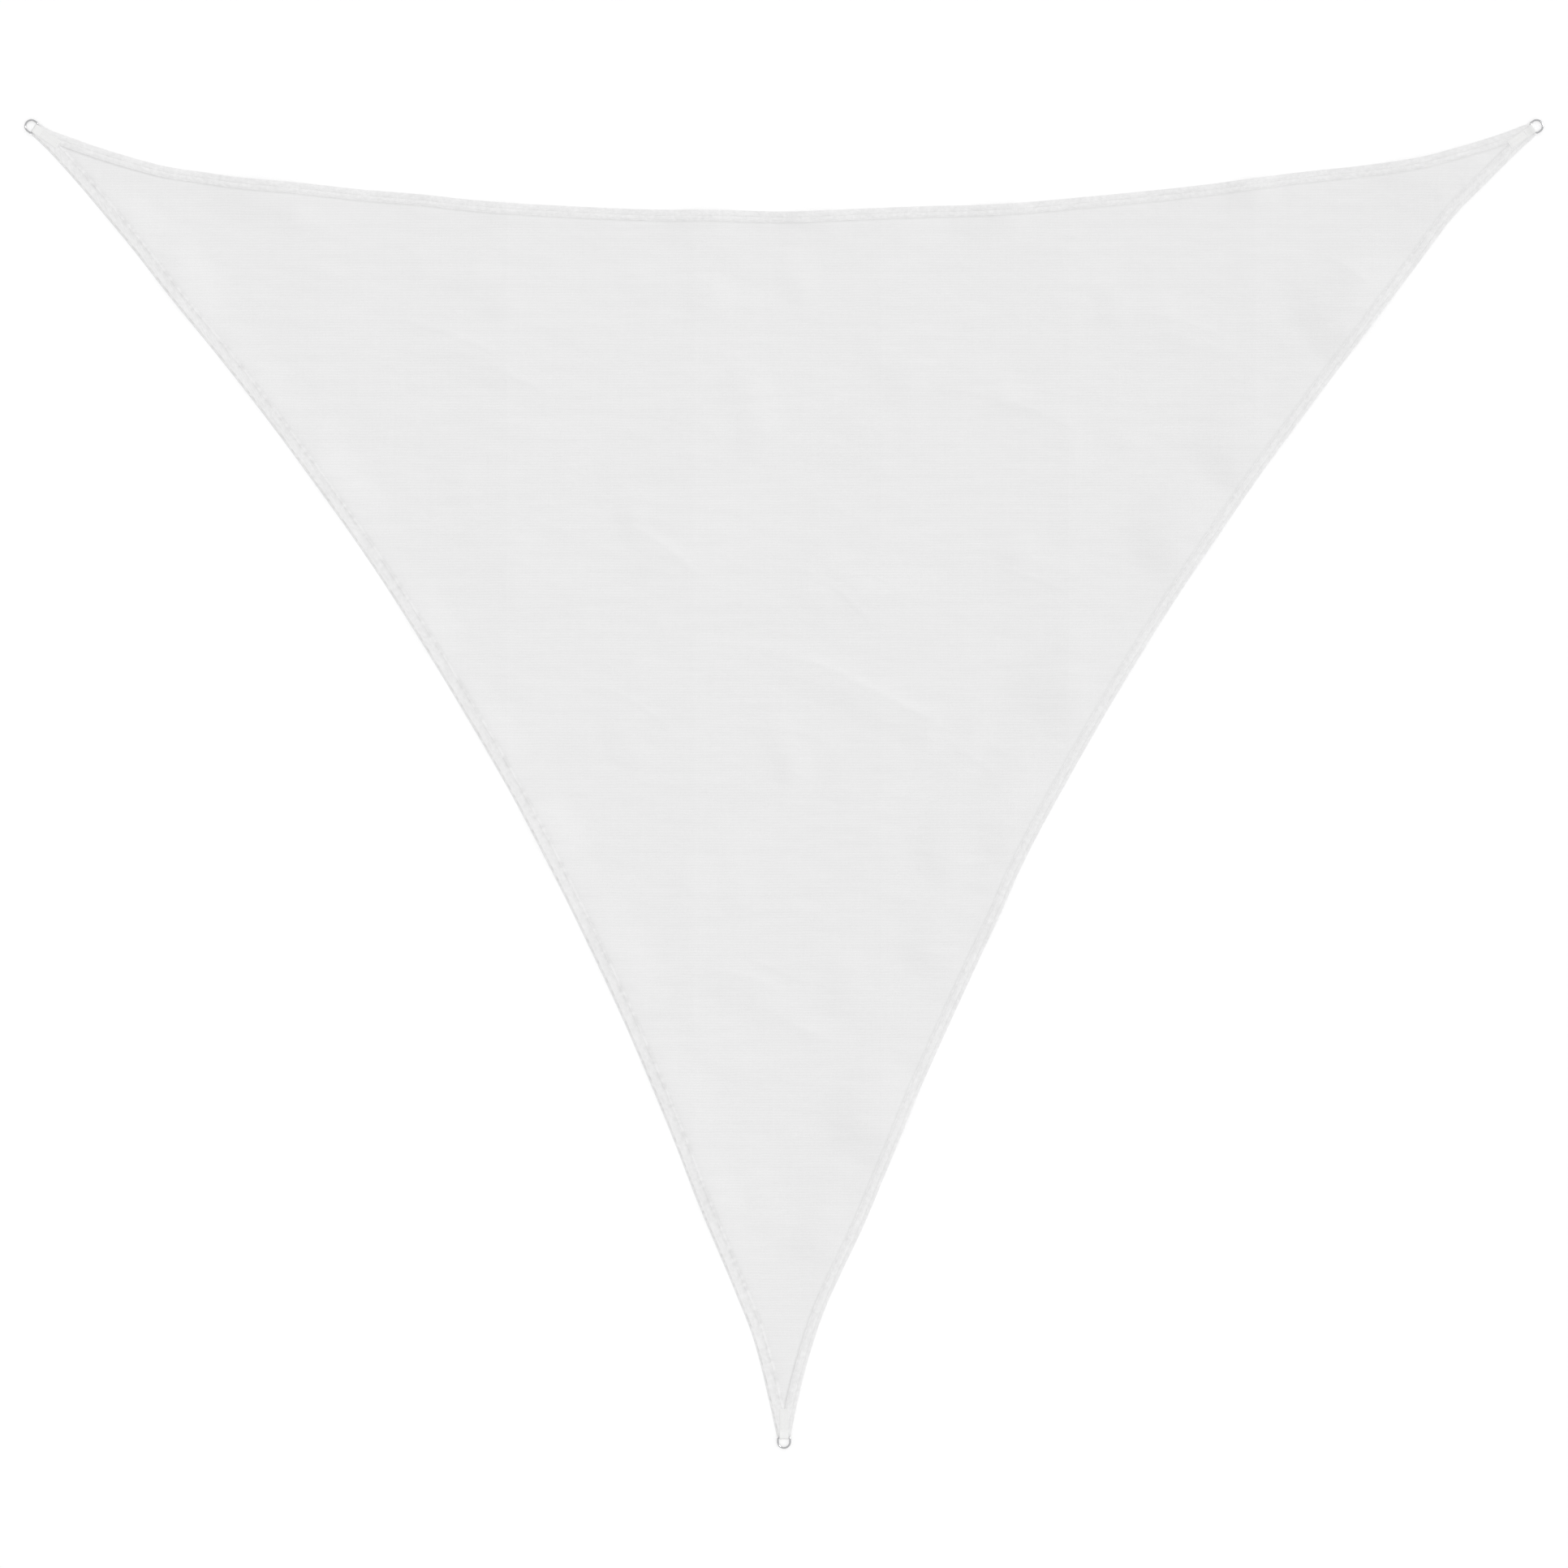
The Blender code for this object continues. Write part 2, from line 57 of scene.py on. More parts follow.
# ---- Rings and webbing loops
WIRE = 6.0 * MM
RING_INNER_WIDTH = 34.0 * MM
RING_INNER_DEPTH = 28.0 * MM
RING_CORNER_RADIUS = 6.0 * MM
WEBBING_THICKNESS = 1.5 * MM
WEBBING_WIDTH = 30.0 * MM
LOOP_LENGTH = 95.0 * MM
LOOP_EASE = 26.0 * MM
BAR_CLEARANCE = 0.6 * MM
SEAT_TO_BAR = 31.0 * MM
RING_WIDTH = RING_INNER_WIDTH + WIRE
RING_DEPTH = RING_INNER_DEPTH + WIRE
BAR_HEIGHT = WEBBING_THICKNESS + BAR_CLEARANCE + WIRE / 2
RING_DIP = math.asin((BAR_HEIGHT - WIRE / 2) / RING_DEPTH)

# ---- Cloth and hem, which is HEM_THICKNESS thick at the corners, and SEWN_THICKNESS with its crown
# between them
SHEET_THICKNESS = 1.2 * MM
HEM_THICKNESS = 3.0 * MM
HEM_WIDTH = 36.5 * MM
HEM_STEP = 1.6 * MM
EDGE_ROUND = 1.7 * MM
INNER_ROW = 33.0 * MM
END_ROW = 8.0 * MM
GROOVE_HALF = 1.3 * MM
SEWN_THICKNESS = 2.8 * MM
STITCH_PITCH = 4.6 * MM

# ---- Corners: how far behind a ring's bar the cloth ends, how high the webbing under it lifts it, and
# how far from the bar that lift, and the calm that keeps out the folds, are whole and are gone
GAP_BEHIND_BAR = 0.6 * MM
GAP_UNDER_CLOTH = 0.3 * MM
GAP_OVER_CLOTH = 0.25 * MM
END_SETBACK = WIRE / 2 + GAP_BEHIND_BAR
CORNER_LIFT = WEBBING_THICKNESS + GAP_UNDER_CLOTH
LIFT_FULL = 0.150
LIFT_NONE = 0.200
CALM_FULL = 0.115
CALM_NONE = 0.22

# ---- How each hem is sewn and lies: its outer row of stitches, its own tone, the painted shade along
# that row and along the hem's inner side with that shade's middle and reach, how the hem is crowned
# between its rows or, below 0, hollowed, how far the cloth lifts where it leaves the hem, how high and
# how far in it puffs up beside it, and how deep the rows of stitches draw in
Hem = namedtuple(
    "Hem", "outer_row tone row_soil side_soil side_at side_reach crown foot puff crest groove"
)
HEMS = {
    "top": Hem(
        outer_row=19.5 * MM,
        tone=0.004,
        row_soil=0.006,
        side_soil=0.013,
        side_at=37.0 * MM,
        side_reach=5.0 * MM,
        crown=0.6,
        foot=0.4 * MM,
        puff=1.1 * MM,
        crest=12.0 * MM,
        groove=0.45 * MM,
    ),
    "right": Hem(
        outer_row=13.0 * MM,
        tone=0.002,
        row_soil=0.004,
        side_soil=0.012,
        side_at=33.0 * MM,
        side_reach=14.0 * MM,
        crown=0.2,
        foot=0.9 * MM,
        puff=0.2 * MM,
        crest=26.0 * MM,
        groove=0.40 * MM,
    ),
    "left": Hem(
        outer_row=4.9 * MM,
        tone=0.010,
        row_soil=0.150,
        side_soil=0.066,
        side_at=36.5 * MM,
        side_reach=13.5 * MM,
        crown=-1.9,
        foot=1.3 * MM,
        puff=1.2 * MM,
        crest=24.0 * MM,
        groove=0.16 * MM,
    ),
}

# ---- Corners, clockwise from above, with the edge that leaves each
Corner = namedtuple("Corner", "name bar heading leaves")
EDGE_FROM = {"left": "top", "right": "right", "bottom": "left"}


def corners_of_sail():
    """Each corner from its ring: the bar's middle on the surface, and the way the ring points."""
    seats = {mount["name"]: mount for mount in frame["record"]["mounts"]}
    found = []
    for name, leaves in EDGE_FROM.items():
        seat = seats[f"hook_seat_{name}"]
        back = Vector(seat["axis"]).normalized()
        bar = Vector(seat["pos_m"]) + back * SEAT_TO_BAR
        heading = Vector((-back.x, -back.y)).normalized()
        found.append(Corner(name, Vector((bar.x, bar.y)), heading, leaves))
    return found


CORNERS = corners_of_sail()


# ================================================================ shader maths


def arithmetic(operation, reflected=False):
    """A method that adds the Math node of one sign, with its own term last where reflected."""

    def method(self, other):
        values = (other, self) if reflected else (self, other)
        return self.finish.math(operation, *values)

    return method


class Term:
    """A value or a colour in a finish. Arithmetic on values adds Math nodes."""

    def __init__(self, finish, socket):
        self.finish = finish
        self.socket = socket

    def __neg__(self):
        return self * -1.0

    __add__ = arithmetic("ADD")
    __radd__ = arithmetic("ADD", reflected=True)
    __sub__ = arithmetic("SUBTRACT")
    __rsub__ = arithmetic("SUBTRACT", reflected=True)
    __mul__ = arithmetic("MULTIPLY")
    __rmul__ = arithmetic("MULTIPLY", reflected=True)
    __truediv__ = arithmetic("DIVIDE")
    __pow__ = arithmetic("POWER")


class Finish:
    """One procedural material, with its nodes made by one method."""

    def __init__(self, name):
        self.material = bpy.data.materials.new(name)
        self.material.use_nodes = True
        self.tree = self.material.node_tree
        self.shader = self.tree.nodes["Principled BSDF"]

    def node(self, kind, settings=None, inputs=None, output=0):
        """Adds a node, sets it, feeds its inputs with values or links and returns one output."""
        made = self.tree.nodes.new(kind)
        for name, value in (settings or {}).items():
            setattr(made, name, value)
        for key, value in (inputs or {}).items():
            self.feed(made.inputs[key], value)
        return Term(self, made.outputs[output])

    def feed(self, socket, value):
        if isinstance(value, Term):
            self.tree.links.new(value.socket, socket)
        else:
            socket.default_value = value

    def math(self, operation, *values):
        return self.node("ShaderNodeMath", {"operation": operation}, dict(enumerate(values)))

    def surface(self, **sockets):
        """Feeds the shader's sockets, named with _ for a space."""
        for name, value in sockets.items():
            self.feed(self.shader.inputs[name.replace("_", " ")], value)
        return self.material

    def object_place(self):
        return self.node("ShaderNodeTexCoord", output="Object")

    def uv_place(self, name):
        return self.node("ShaderNodeUVMap", {"uv_map": name})

    def axes(self, place):
        split = self.node("ShaderNodeSeparateXYZ", inputs={0: place})
        return [Term(self, socket) for socket in split.socket.node.outputs]

    def together(self, x, y, z=0.0):
        return self.node("ShaderNodeCombineXYZ", inputs={0: x, 1: y, 2: z})

    def turned(self, place, degrees):
        angle = math.radians(degrees)
        settings = {"rotation_type": "Z_AXIS"}
        return self.node("ShaderNodeVectorRotate", settings, {"Vector": place, "Angle": angle})

    def noise(self, place, scale, detail=2.0, roughness=0.5, stretch=(1.0, 1.0, 1.0)):
        """Noise from 0 to 1, scale features a metre, stretched along the axes."""
        moved = self.node(
            "ShaderNodeVectorMath", {"operation": "MULTIPLY"}, {0: place, 1: stretch}
        )
        return self.node(
            "ShaderNodeTexNoise",
            {"noise_dimensions": "3D"},
            {"Vector": moved, "Scale": scale, "Detail": detail, "Roughness": roughness},
            output="Fac",
        )

    def wave(self, value):
        """1 where value is whole, 0 half-way between, as a cosine."""
        return self.math("COSINE", value * (2 * math.pi)) * 0.5 + 0.5

    def near(self, value, reach):
        """1 where value is 0, falling smoothly to nearly 0 one reach away."""
        share = value / reach
        return self.math("EXPONENT", -(share * share * 3.0))

    def between(self, value, low, high):
        """0 below low and 1 above high, with a smooth step."""
        return self.node(
            "ShaderNodeMapRange",
            {"interpolation_type": "SMOOTHSTEP"},
            {"Value": value, "From Min": low, "From Max": high},
        )

    def tint(self, colour, factor):
        """The colour with each channel multiplied by the factor."""
        return self.node(
            "ShaderNodeVectorMath", {"operation": "SCALE"}, {0: colour, "Scale": factor}
        )

    def bump(self, height, distance, strength=1.0, normal=None):
        inputs = {"Height": height, "Distance": distance, "Strength": strength}
        if normal is not None:
            inputs["Normal"] = normal
        return self.node("ShaderNodeBump", inputs=inputs, output="Normal")


# ================================================================ finishes

CLOTH_COLOUR = (0.853, 0.8515, 0.853)
YARN_WHITE = (0.87, 0.87, 0.865)
STEEL_COLOUR = (0.56, 0.56, 0.57)
FLOOR_COLOUR = (0.93, 0.93, 0.93)
CHAIN_PITCH = 3.8 * MM
TAPE_PITCH = 2.2 * MM
KNIT_DEPTH = 0.5 * MM
GATHER_DEPTH = 1.0 * MM
WEAVE_DEPTH = 0.35 * MM
SCRATCH_DEPTH = 0.02 * MM
TWIST_DEPTH = 0.12 * MM
STREAKS_HEADING = 22
NEEDLE_HOLE = 1.5 * MM
# How far the painted shade along each hem's outer row of stitches reaches
ROW_SHADE_REACH = 3.2 * MM
HEM_TONE_ENDS = (HEM_WIDTH - 0.3 * MM, HEM_WIDTH + 0.5 * MM)

# Faint upright bars of tone in the cloth, and how much greyer it gets a metre towards +X
BAR_SPACING = 0.6146
BAR_PHASE = 0.48
GREYING = 0.005


def knitted_cloth():
    """Chains of thin yarn along X that hold slanting flat tapes, with small gaps between them, the
    gaps darkened with painted shade.
    """
    f = Finish("knitted_cloth")
    place = f.uv_place("flat_cloth")
    x, y, _ = f.axes(place)
    run, inward, _ = f.axes(f.uv_place("along_hem"))
    from_outer, from_inner, _ = f.axes(f.uv_place("stitch_rows"))
    # Strength of the painted shade along each hem's outer row of stitches and along its inner side
    row_soil, side_soil, _ = f.axes(f.uv_place("hem_painted_shade"))
    from_side, hem_tone, _ = f.axes(f.uv_place("hem_side"))

    drift = f.noise(place, 9.0, detail=1.0) - 0.5
    across_chains = y / CHAIN_PITCH + drift * 0.8
    along_chains = x / TAPE_PITCH + drift * 0.9
    slant = f.math("PINGPONG", across_chains, 0.5) * 2.0
    chain = f.wave(across_chains) ** 5.0
    loop = f.wave(along_chains + 0.25)
    tape = f.wave(along_chains + slant * 0.5)
    gap = (1.0 - tape) ** 2.5 * (1.0 - chain)
    height = f.math("MAXIMUM", chain * (loop * 0.35 + 0.65), tape * 0.62)

    slanting = f.turned(place, STREAKS_HEADING)
    rows = f.noise(place, 1.0, detail=4.0, roughness=0.7, stretch=(3.6, 34.0, 1.0)) - 0.5
    streaks = f.noise(slanting, 1.0, detail=3.0, roughness=0.6, stretch=(2.8, 17.0, 1.0)) - 0.5
    bar = f.math("FRACT", x / BAR_SPACING + BAR_PHASE) - 0.5
    columns = f.noise(place, 1.0, detail=2.0, roughness=0.6, stretch=(96.0, 5.0, 1.0)) - 0.5
    patches = f.noise(place, 4.5, detail=3.0, roughness=0.6) - 0.5
    yarn = f.noise(place, 900.0, detail=2.0) - 0.5

    in_hem = 1.0 - f.between(inward, *HEM_TONE_ENDS)
    needle = f.wave(run / STITCH_PITCH + 0.5) ** 6.0
    on_rows = f.near(from_outer, NEEDLE_HOLE) + f.near(from_inner, NEEDLE_HOLE)
    holes = on_rows * needle
    gathers = f.noise(f.together(run, inward * 0.12), 46.0, detail=2.0) - 0.5
    blotches = f.noise(f.together(run, inward * 1.8), 17.0, detail=3.0, roughness=0.6) - 0.5
    mottle = f.noise(f.together(run, inward * 1.3), 75.0, detail=2.0) - 0.5
    # Painted shade along the outer row of stitches and the hem's inner side, standing in for the shade
    # of the stitch grooves, the hem's step and its gathers, broken into dashes and blotches
    dashes = f.between(gathers, -0.13, 0.13) * 1.3 + 0.35
    uneven = f.between(blotches * 0.7 + gathers * 0.8, -0.11, 0.13) * 1.7 + 0.25
    painted_seam_shade = f.near(from_side, 1.0) * side_soil * uneven
    painted_seam_shade = painted_seam_shade + f.near(from_outer, ROW_SHADE_REACH) * row_soil * dashes

    # The gaps between the tapes and the needle holes are darkened with painted shade
    shade = 1.0 - gap * 0.2 + rows * 0.062 + streaks * 0.03 + columns * 0.02 - bar * 0.007
    greyed = f.math("MAXIMUM", x, 0.0) * GREYING
    shade = shade + patches * 0.01 + yarn * 0.02 - holes * 0.12 - greyed
    shade = shade - painted_seam_shade + in_hem * (blotches * 0.12 + mottle * 0.19 + hem_tone)
    colour = f.tint(CLOTH_COLOUR, shade)
    knit = f.bump(height + yarn * 0.15, KNIT_DEPTH)
    sewn = f.bump(gathers * in_hem * 1.2 - holes * 0.5, GATHER_DEPTH, normal=knit)
    rough = 0.68 + gap * 0.2 - tape * 0.08 + yarn * 0.06
    return f.surface(
        Base_Color=colour,
        Roughness=rough,
        Normal=sewn,
        Specular_IOR_Level=0.32,
        Sheen_Weight=0.06,
        Sheen_Roughness=0.5,
    )


RIB_PITCH = 2.5 * MM
PICK_PITCH = 1.3 * MM
SELVEDGE_STARTS = (WEBBING_WIDTH / 2 - 2.2 * MM, WEBBING_WIDTH / 2 - 1.6 * MM)


def woven_webbing():
    """Close upright ribs, each crossed by fine picks, with a denser selvedge along both sides, painted
    darker in the hollows of the weave as shade.
    """
    f = Finish("woven_webbing")
    along, across, _ = f.axes(f.uv_place("strap"))
    place = f.object_place()
    rib = f.wave(across / RIB_PITCH)
    side = f.math("SIGN", f.math("COSINE", across / RIB_PITCH * math.pi))
    pick = f.wave(along / PICK_PITCH + side * 0.25)
    selvedge = f.between(f.math("ABSOLUTE", across), *SELVEDGE_STARTS)
    fibre = f.noise(place, 2600.0, detail=2.0) - 0.5
    soil = f.noise(place, 60.0, detail=3.0) - 0.5
    height = rib * 0.6 + pick * 0.4 * (1.0 - selvedge * 0.6) + fibre * 0.15
    # Lighter on the raised weave and darker in its hollows: painted shade
    shade = 0.86 + height * 0.14 + soil * 0.03 - selvedge * 0.02
    return f.surface(
        Base_Color=f.tint(YARN_WHITE, shade),
        Roughness=0.7 + fibre * 0.1,
        Normal=f.bump(height, WEAVE_DEPTH),
        Sheen_Weight=0.08,
    )


def polished_steel():
    """Drawn and tumbled wire: bright, with faint rubbed patches and hair scratches."""
    f = Finish("polished_steel")
    place = f.object_place()
    cloud = f.noise(place, 220.0, detail=3.0) - 0.5
    hair = f.noise(place, 1.0, detail=2.0, stretch=(5200.0, 700.0, 2600.0)) - 0.5
    rubbed = f.between(f.noise(place, 90.0, detail=4.0), 0.5, 0.68)
    return f.surface(
        Base_Color=f.tint(STEEL_COLOUR, 1.0 + cloud * 0.08),
        Metallic=1.0,
        Roughness=0.16 + rubbed * 0.12 + hair * 0.08,
        Normal=f.bump(hair + cloud * 0.4, SCRATCH_DEPTH),
    )


def sewing_thread():
    """Two-ply thread, its twist seen as slanting lines, painted darker between the plies as shade."""
    f = Finish("sewing_thread")
    along, around, _ = f.axes(f.uv_place("thread"))
    twist = f.wave(along * 4.0 + around)
    soil = f.noise(f.object_place(), 35.0, detail=2.0) - 0.5
    return f.surface(
        # Lighter on the plies and darker between them: painted shade
        Base_Color=f.tint(YARN_WHITE, 0.88 + twist * 0.12 + soil * 0.05),
        Roughness=0.55,
        Normal=f.bump(twist, TWIST_DEPTH),
        Sheen_Weight=0.1,
    )


def pale_floor():
    """Matt and near white, very slightly clouded."""
    f = Finish("pale_floor")
    cloud = f.noise(f.object_place(), 0.7, detail=2.0) - 0.5
    return f.surface(Base_Color=f.tint(FLOOR_COLOUR, 1.0 + cloud * 0.01), Roughness=0.9)


# ================================================================ the cloth's outline


def loose_copy_merged(node):
    """A copy of a node's mesh to read, with its loose triangles joined."""
    body = bmesh.new()
    body.from_mesh(frame["nodes"][node].data)
    bmesh.ops.remove_doubles(body, verts=body.verts[:], dist=MERGE_DISTANCE)
    body.normal_update()
    return body


def is_level(face):
    """Whether a face looks up or down, and not sideways as the side walls do."""
    return abs(face.normal.z) > 0.5


def rim_of(body):
    """The lower rim of the side walls as one closed row of points, clockwise from above."""
    after = {}
    for edge in body.edges:
        level = [face for face in edge.link_faces if is_level(face)]
        if len(edge.link_faces) == 2 and len(level) == 1 and level[0].normal.z < 0:
            for vertex in edge.verts:
                after.setdefault(vertex, []).append(edge.other_vert(vertex))
    start = next(iter(after))
    row = [start, after[start][0]]
    while True:
        onward = [v for v in after[row[-1]] if v is not row[-2]][0]
        if onward is start:
            break
        row.append(onward)
    points = [Vector((v.co.x, v.co.y)) for v in row]
    area = sum(a.x * b.y - b.x * a.y for a, b in zip(points, points[1:] + points[:1]))
    return points if area < 0 else points[::-1]


def split_at_corners(points):
    """The three long edges, each from one corner's end to the next one's."""
    ends = []
    for corner in CORNERS:
        order = sorted(range(len(points)), key=lambda i: (points[i] - corner.bar).length)
        pair = sorted(order[:2])
        leaving = pair[1] if pair[1] - pair[0] == 1 else pair[0]
        arriving = pair[0] if leaving == pair[1] else pair[1]
        ends.append((arriving, leaving))
    edges = []
    for number in range(len(CORNERS)):
        first = ends[number][1]
        last = ends[(number + 1) % len(CORNERS)][0]
        count = (last - first) % len(points)
        edges.append([points[(first + step) % len(points)] for step in range(count + 1)])
    return edges


DENSE_STEP = 2.0 * MM


def read_along(rows, run, places):
    """Rows of two values that are known along a run, read off at places on it."""
    return np.c_[np.interp(places, run, rows[:, 0]), np.interp(places, run, rows[:, 1])]


def smooth_line(points, spacing):
    """Even points on a smooth curve through the given ones."""
    p = np.array([(q.x, q.y) for q in points])
    t = np.r_[0.0, np.cumsum(np.linalg.norm(np.diff(p, axis=0), axis=1))]
    slope = np.empty_like(p)
    slope[1:-1] = (p[2:] - p[:-2]) / (t[2:] - t[:-2])[:, None]
    slope[0] = (p[1] - p[0]) / (t[1] - t[0])
    slope[-1] = (p[-1] - p[-2]) / (t[-1] - t[-2])
    dense = np.linspace(0.0, t[-1], int(t[-1] / DENSE_STEP))
    i = np.clip(np.searchsorted(t, dense, side="right") - 1, 0, len(t) - 2)
    h = (t[i + 1] - t[i])[:, None]
    u = ((dense - t[i]) / (t[i + 1] - t[i]))[:, None]
    curve = (
        (2 * u**3 - 3 * u**2 + 1) * p[i]
        + (u**3 - 2 * u**2 + u) * h * slope[i]
        + (3 * u**2 - 2 * u**3) * p[i + 1]
        + (u**3 - u**2) * h * slope[i + 1]
    )
    run = np.r_[0.0, np.cumsum(np.linalg.norm(np.diff(curve, axis=0), axis=1))]
    even = np.linspace(0.0, run[-1], max(2, round(run[-1] / spacing) + 1))
    return read_along(curve, run, even), even


Edge = namedtuple("Edge", "name points run hem")
STATION_GAP = 16.0 * MM


def sail_edges():
    """The three edges, clockwise from the left corner, with even points along them."""
    names = [corner.leaves for corner in CORNERS]
    made = []
    for name, points in zip(names, split_at_corners(rim_of(loose_copy_merged("sail_cloth")))):
        line, run = smooth_line(points, STATION_GAP)
        made.append(Edge(name, line, run, HEMS[name]))
    return made


EDGES = sail_edges()


def to_right(line):
    """The unit way to the right at each point of a line, which is into the cloth."""
    onward = np.empty_like(line)
    onward[1:-1] = line[2:] - line[:-2]
    onward[0] = line[1] - line[0]
    onward[-1] = line[-1] - line[-2]
    onward /= np.linalg.norm(onward, axis=1)[:, None]
    return np.c_[onward[:, 1], -onward[:, 0]]


# How many points of a line are looked at where it meets another, and where points lie on a cut end
POINTS_AT_CORNER = 24
CUT_SHARES = np.linspace(0.0, 1.0, 5)


def crossing(arriving, leaving):
    """Where the end of one line crosses the start of another: the place, and a count on each."""
    near_end = arriving[-POINTS_AT_CORNER:]
    skipped = len(arriving) - len(near_end)
    near_start = leaving[:POINTS_AT_CORNER]
    for back in range(len(near_end) - 1, 0, -1):
        for ahead in range(1, len(near_start)):
            place = intersect_line_line_2d(
                near_end[back - 1], near_end[back], near_start[ahead - 1], near_start[ahead]
            )
            if place is not None:
                return place, skipped + back, ahead
    return None


def closed_row(edge_gaps, end_gap):
    """A closed line this far inside the edges, and inside the cut ends where it reaches them."""
    moved = []
    for edge, gap in zip(EDGES, edge_gaps):
        moved.append([Vector(p) for p in edge.points + to_right(edge.points) * gap])
    starts, finishes, ends = {}, {}, {}
    for number in range(len(EDGES)):
        following = (number + 1) % len(EDGES)
        cut = np.array([EDGES[number].points[-1], EDGES[following].points[0]])
        cut = np.array([cut[0] * (1 - share) + cut[1] * share for share in CUT_SHARES])
        cut_in = [Vector(p) for p in cut + to_right(cut) * end_gap]
        into = crossing(moved[number], cut_in)
        out_of = crossing(cut_in, moved[following])
        if into and out_of and into[2] <= out_of[1]:
            finishes[number] = into[1]
            starts[following] = out_of[2]
            ends[number] = [into[0], *cut_in[into[2] : out_of[1]], out_of[0]]
        else:
            place, last, first = crossing(moved[number], moved[following])
            finishes[number] = last
            starts[following] = first
            ends[number] = [place]
    line = []
    for number, row in enumerate(moved):
        line += row[starts[number] : finishes[number]] + ends[number]
    return line


def outline_row():
    """The closed outline: the three edges, and the cut ends behind the bars."""
    line = []
    for number, edge in enumerate(EDGES):
        following = EDGES[(number + 1) % len(EDGES)]
        line += [Vector(p) for p in edge.points]
        start, end = Vector(edge.points[-1]), Vector(following.points[0])
        line += [start.lerp(end, share) for share in CUT_SHARES[1:-1]]
    return line


# ================================================================ the cloth's relief

